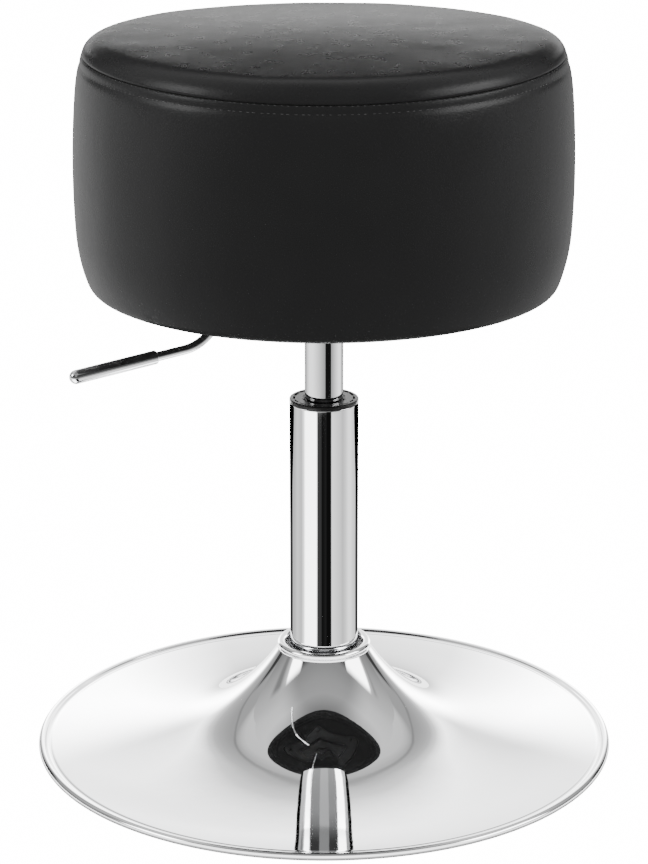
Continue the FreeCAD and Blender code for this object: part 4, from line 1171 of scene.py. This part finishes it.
def round_wall(radius, low, high):
    """The corners of a wall right round the stool, which starts behind it."""
    corners = []
    for index in range(WALL_TURNS + 1):
        x, y = polar((0, 0), radius, 90 + 360 * index / WALL_TURNS)
        corners += [(x, y, low), (x, y, high)]
    return corners


def make_glows(leather_pieces, column, cylinder, base):
    """The sheets of light that one kind of piece alone mirrors."""
    screen = upright(BACKDROP_HALF_WIDTH, SCREEN_DISTANCE, 0, SCREEN_HEIGHT)
    sheen = upright(SHEEN_HALF_WIDTH, SHEEN_DISTANCE, SHEEN_FOOT, SHEEN_TOP)
    for name, corners, levels, value, pieces in (
        ("sheen_card", sheen, SHEEN_LEVELS, by_height, leather_pieces),
        ("halo", round_wall(HALO_RADIUS, 0, HALO_HEIGHT), HALO_LEVELS, by_bearing, leather_pieces),
        ("base_front", round_wall(FRONT_DISTANCE, 0, FRONT_HEIGHT), FRONT_LEVELS, by_bearing, [base]),
        ("column_panels", round_wall(FRONT_DISTANCE, *COLUMN_PANELS), PANEL_LEVELS, by_bearing, [column]),
        ("column_screen", screen, COLUMN_SCREEN, by_side, [column]),
        ("cylinder_screen", screen, CYLINDER_SCREEN, by_side, [cylinder]),
        ("base_floor", flat(BASE_FLOOR[-1][0], BASE_FLOOR_RISE), BASE_FLOOR, by_distance, [base]),
    ):
        shines_on(glow(name, corners, levels, value), pieces)


def floor_material():
    """White paper, as the camera and soft light see it."""
    material, tree = light_material("paper_floor")
    by_ray(tree, 0.0, FLOOR_GLOW)
    return material


def painted_bands_material():
    """The studio floor that reflections see, with bright and dark bands of painted light on it."""
    material, tree = light_material("painted_floor_bands")
    place = axes(tree)
    bearing, distance = by_bearing(tree, *place), by_distance(tree, *place)
    level = levels_ramp(tree, bearing, CLOSE_BANDS)
    for start, ring in zip(BAND_RINGS, (NEAR_BANDS, FAR_BANDS, OUTER_BANDS)):
        past = stepped(tree, distance, start - BAND_EDGE, start + BAND_EDGE)
        level = blended(tree, past, level, levels_ramp(tree, bearing, ring))
    by_ray(tree, times(tree, level, BAND_BRIGHTNESS), 0.0)
    return material


def make_floor():
    """The floor that the camera sees, and the bands of painted light that reflections see in its place."""
    corners = flat(FLOOR_HALF, 0)
    floor = new_mesh("floor", corners, [(0, 2, 3, 1)])
    dress(floor, floor_material())
    floor.visible_glossy = False
    floor_bands = new_mesh("painted_floor_bands", corners, [(0, 2, 3, 1)])
    dress(floor_bands, painted_bands_material())
    only_reflected(floor_bands)
    return floor_bands


def soft_box(name, place, size, power, target):
    light = bpy.data.lights.new(name, "AREA")
    light.shape = "RECTANGLE"
    light.size, light.size_y = size
    light.energy = power
    lamp = bpy.data.objects.new(name, light)
    lamp.location = place
    lamp.rotation_mode = "QUATERNION"
    lamp.rotation_quaternion = (Vector(target) - Vector(place)).to_track_quat("-Z", "Y")
    lamp.visible_glossy = False
    bpy.context.scene.collection.objects.link(lamp)


def make_camera():
    camera = bpy.data.cameras.new("camera")
    camera.lens = CAMERA_LENS
    camera.sensor_width = SENSOR_SIZE
    camera.clip_start, camera.clip_end = CAMERA_CLIP
    eye = bpy.data.objects.new("camera", camera)
    eye.location = CAMERA_PLACE
    eye.rotation_euler = (math.radians(90 - CAMERA_PITCH), 0, 0)
    bpy.context.scene.collection.objects.link(eye)
    bpy.context.scene.camera = eye


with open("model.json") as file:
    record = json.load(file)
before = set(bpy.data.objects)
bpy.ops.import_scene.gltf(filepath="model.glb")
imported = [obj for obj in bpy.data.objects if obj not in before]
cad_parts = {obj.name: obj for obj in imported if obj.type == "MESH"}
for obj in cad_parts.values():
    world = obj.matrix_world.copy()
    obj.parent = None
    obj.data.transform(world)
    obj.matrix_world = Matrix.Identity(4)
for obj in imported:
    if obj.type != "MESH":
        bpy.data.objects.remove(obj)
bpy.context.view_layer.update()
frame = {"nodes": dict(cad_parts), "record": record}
make_camera()
world_light()
floor_bands = make_floor()
backdrop = make_backdrop()
for name, values in SOFT_BOXES.items():
    soft_box(name, *values)

finishes = {name: finish(name, **values) for name, values in FINISHES.items()}
finishes["leather"], finishes["dust_cloth"] = finishes["black_leather"], finishes["felt"]
for part in frame["record"]["subparts"]:
    dress(frame["nodes"][part["node"]], finishes[part["material_slot"]])
for node in ("plate_bolts", "plate_washers", "staples"):
    dress(frame["nodes"][node], finishes["black_paint"])

leather_pieces = make_seat(finishes["leather"], finishes["thread"])
base = make_base(finishes["base_chrome"])
column = make_column(finishes["chrome"])
make_bush(finishes["black_plastic"])
cylinder = make_cylinder(finishes["chrome"])
make_lever(finishes["chrome"])
make_cloth(finishes["dust_cloth"])
make_glows(leather_pieces, column, cylinder, base)
shines_on(floor_bands, leather_pieces + [base], "EXCLUDE")
shines_on(backdrop, leather_pieces + [column, cylinder], "EXCLUDE")
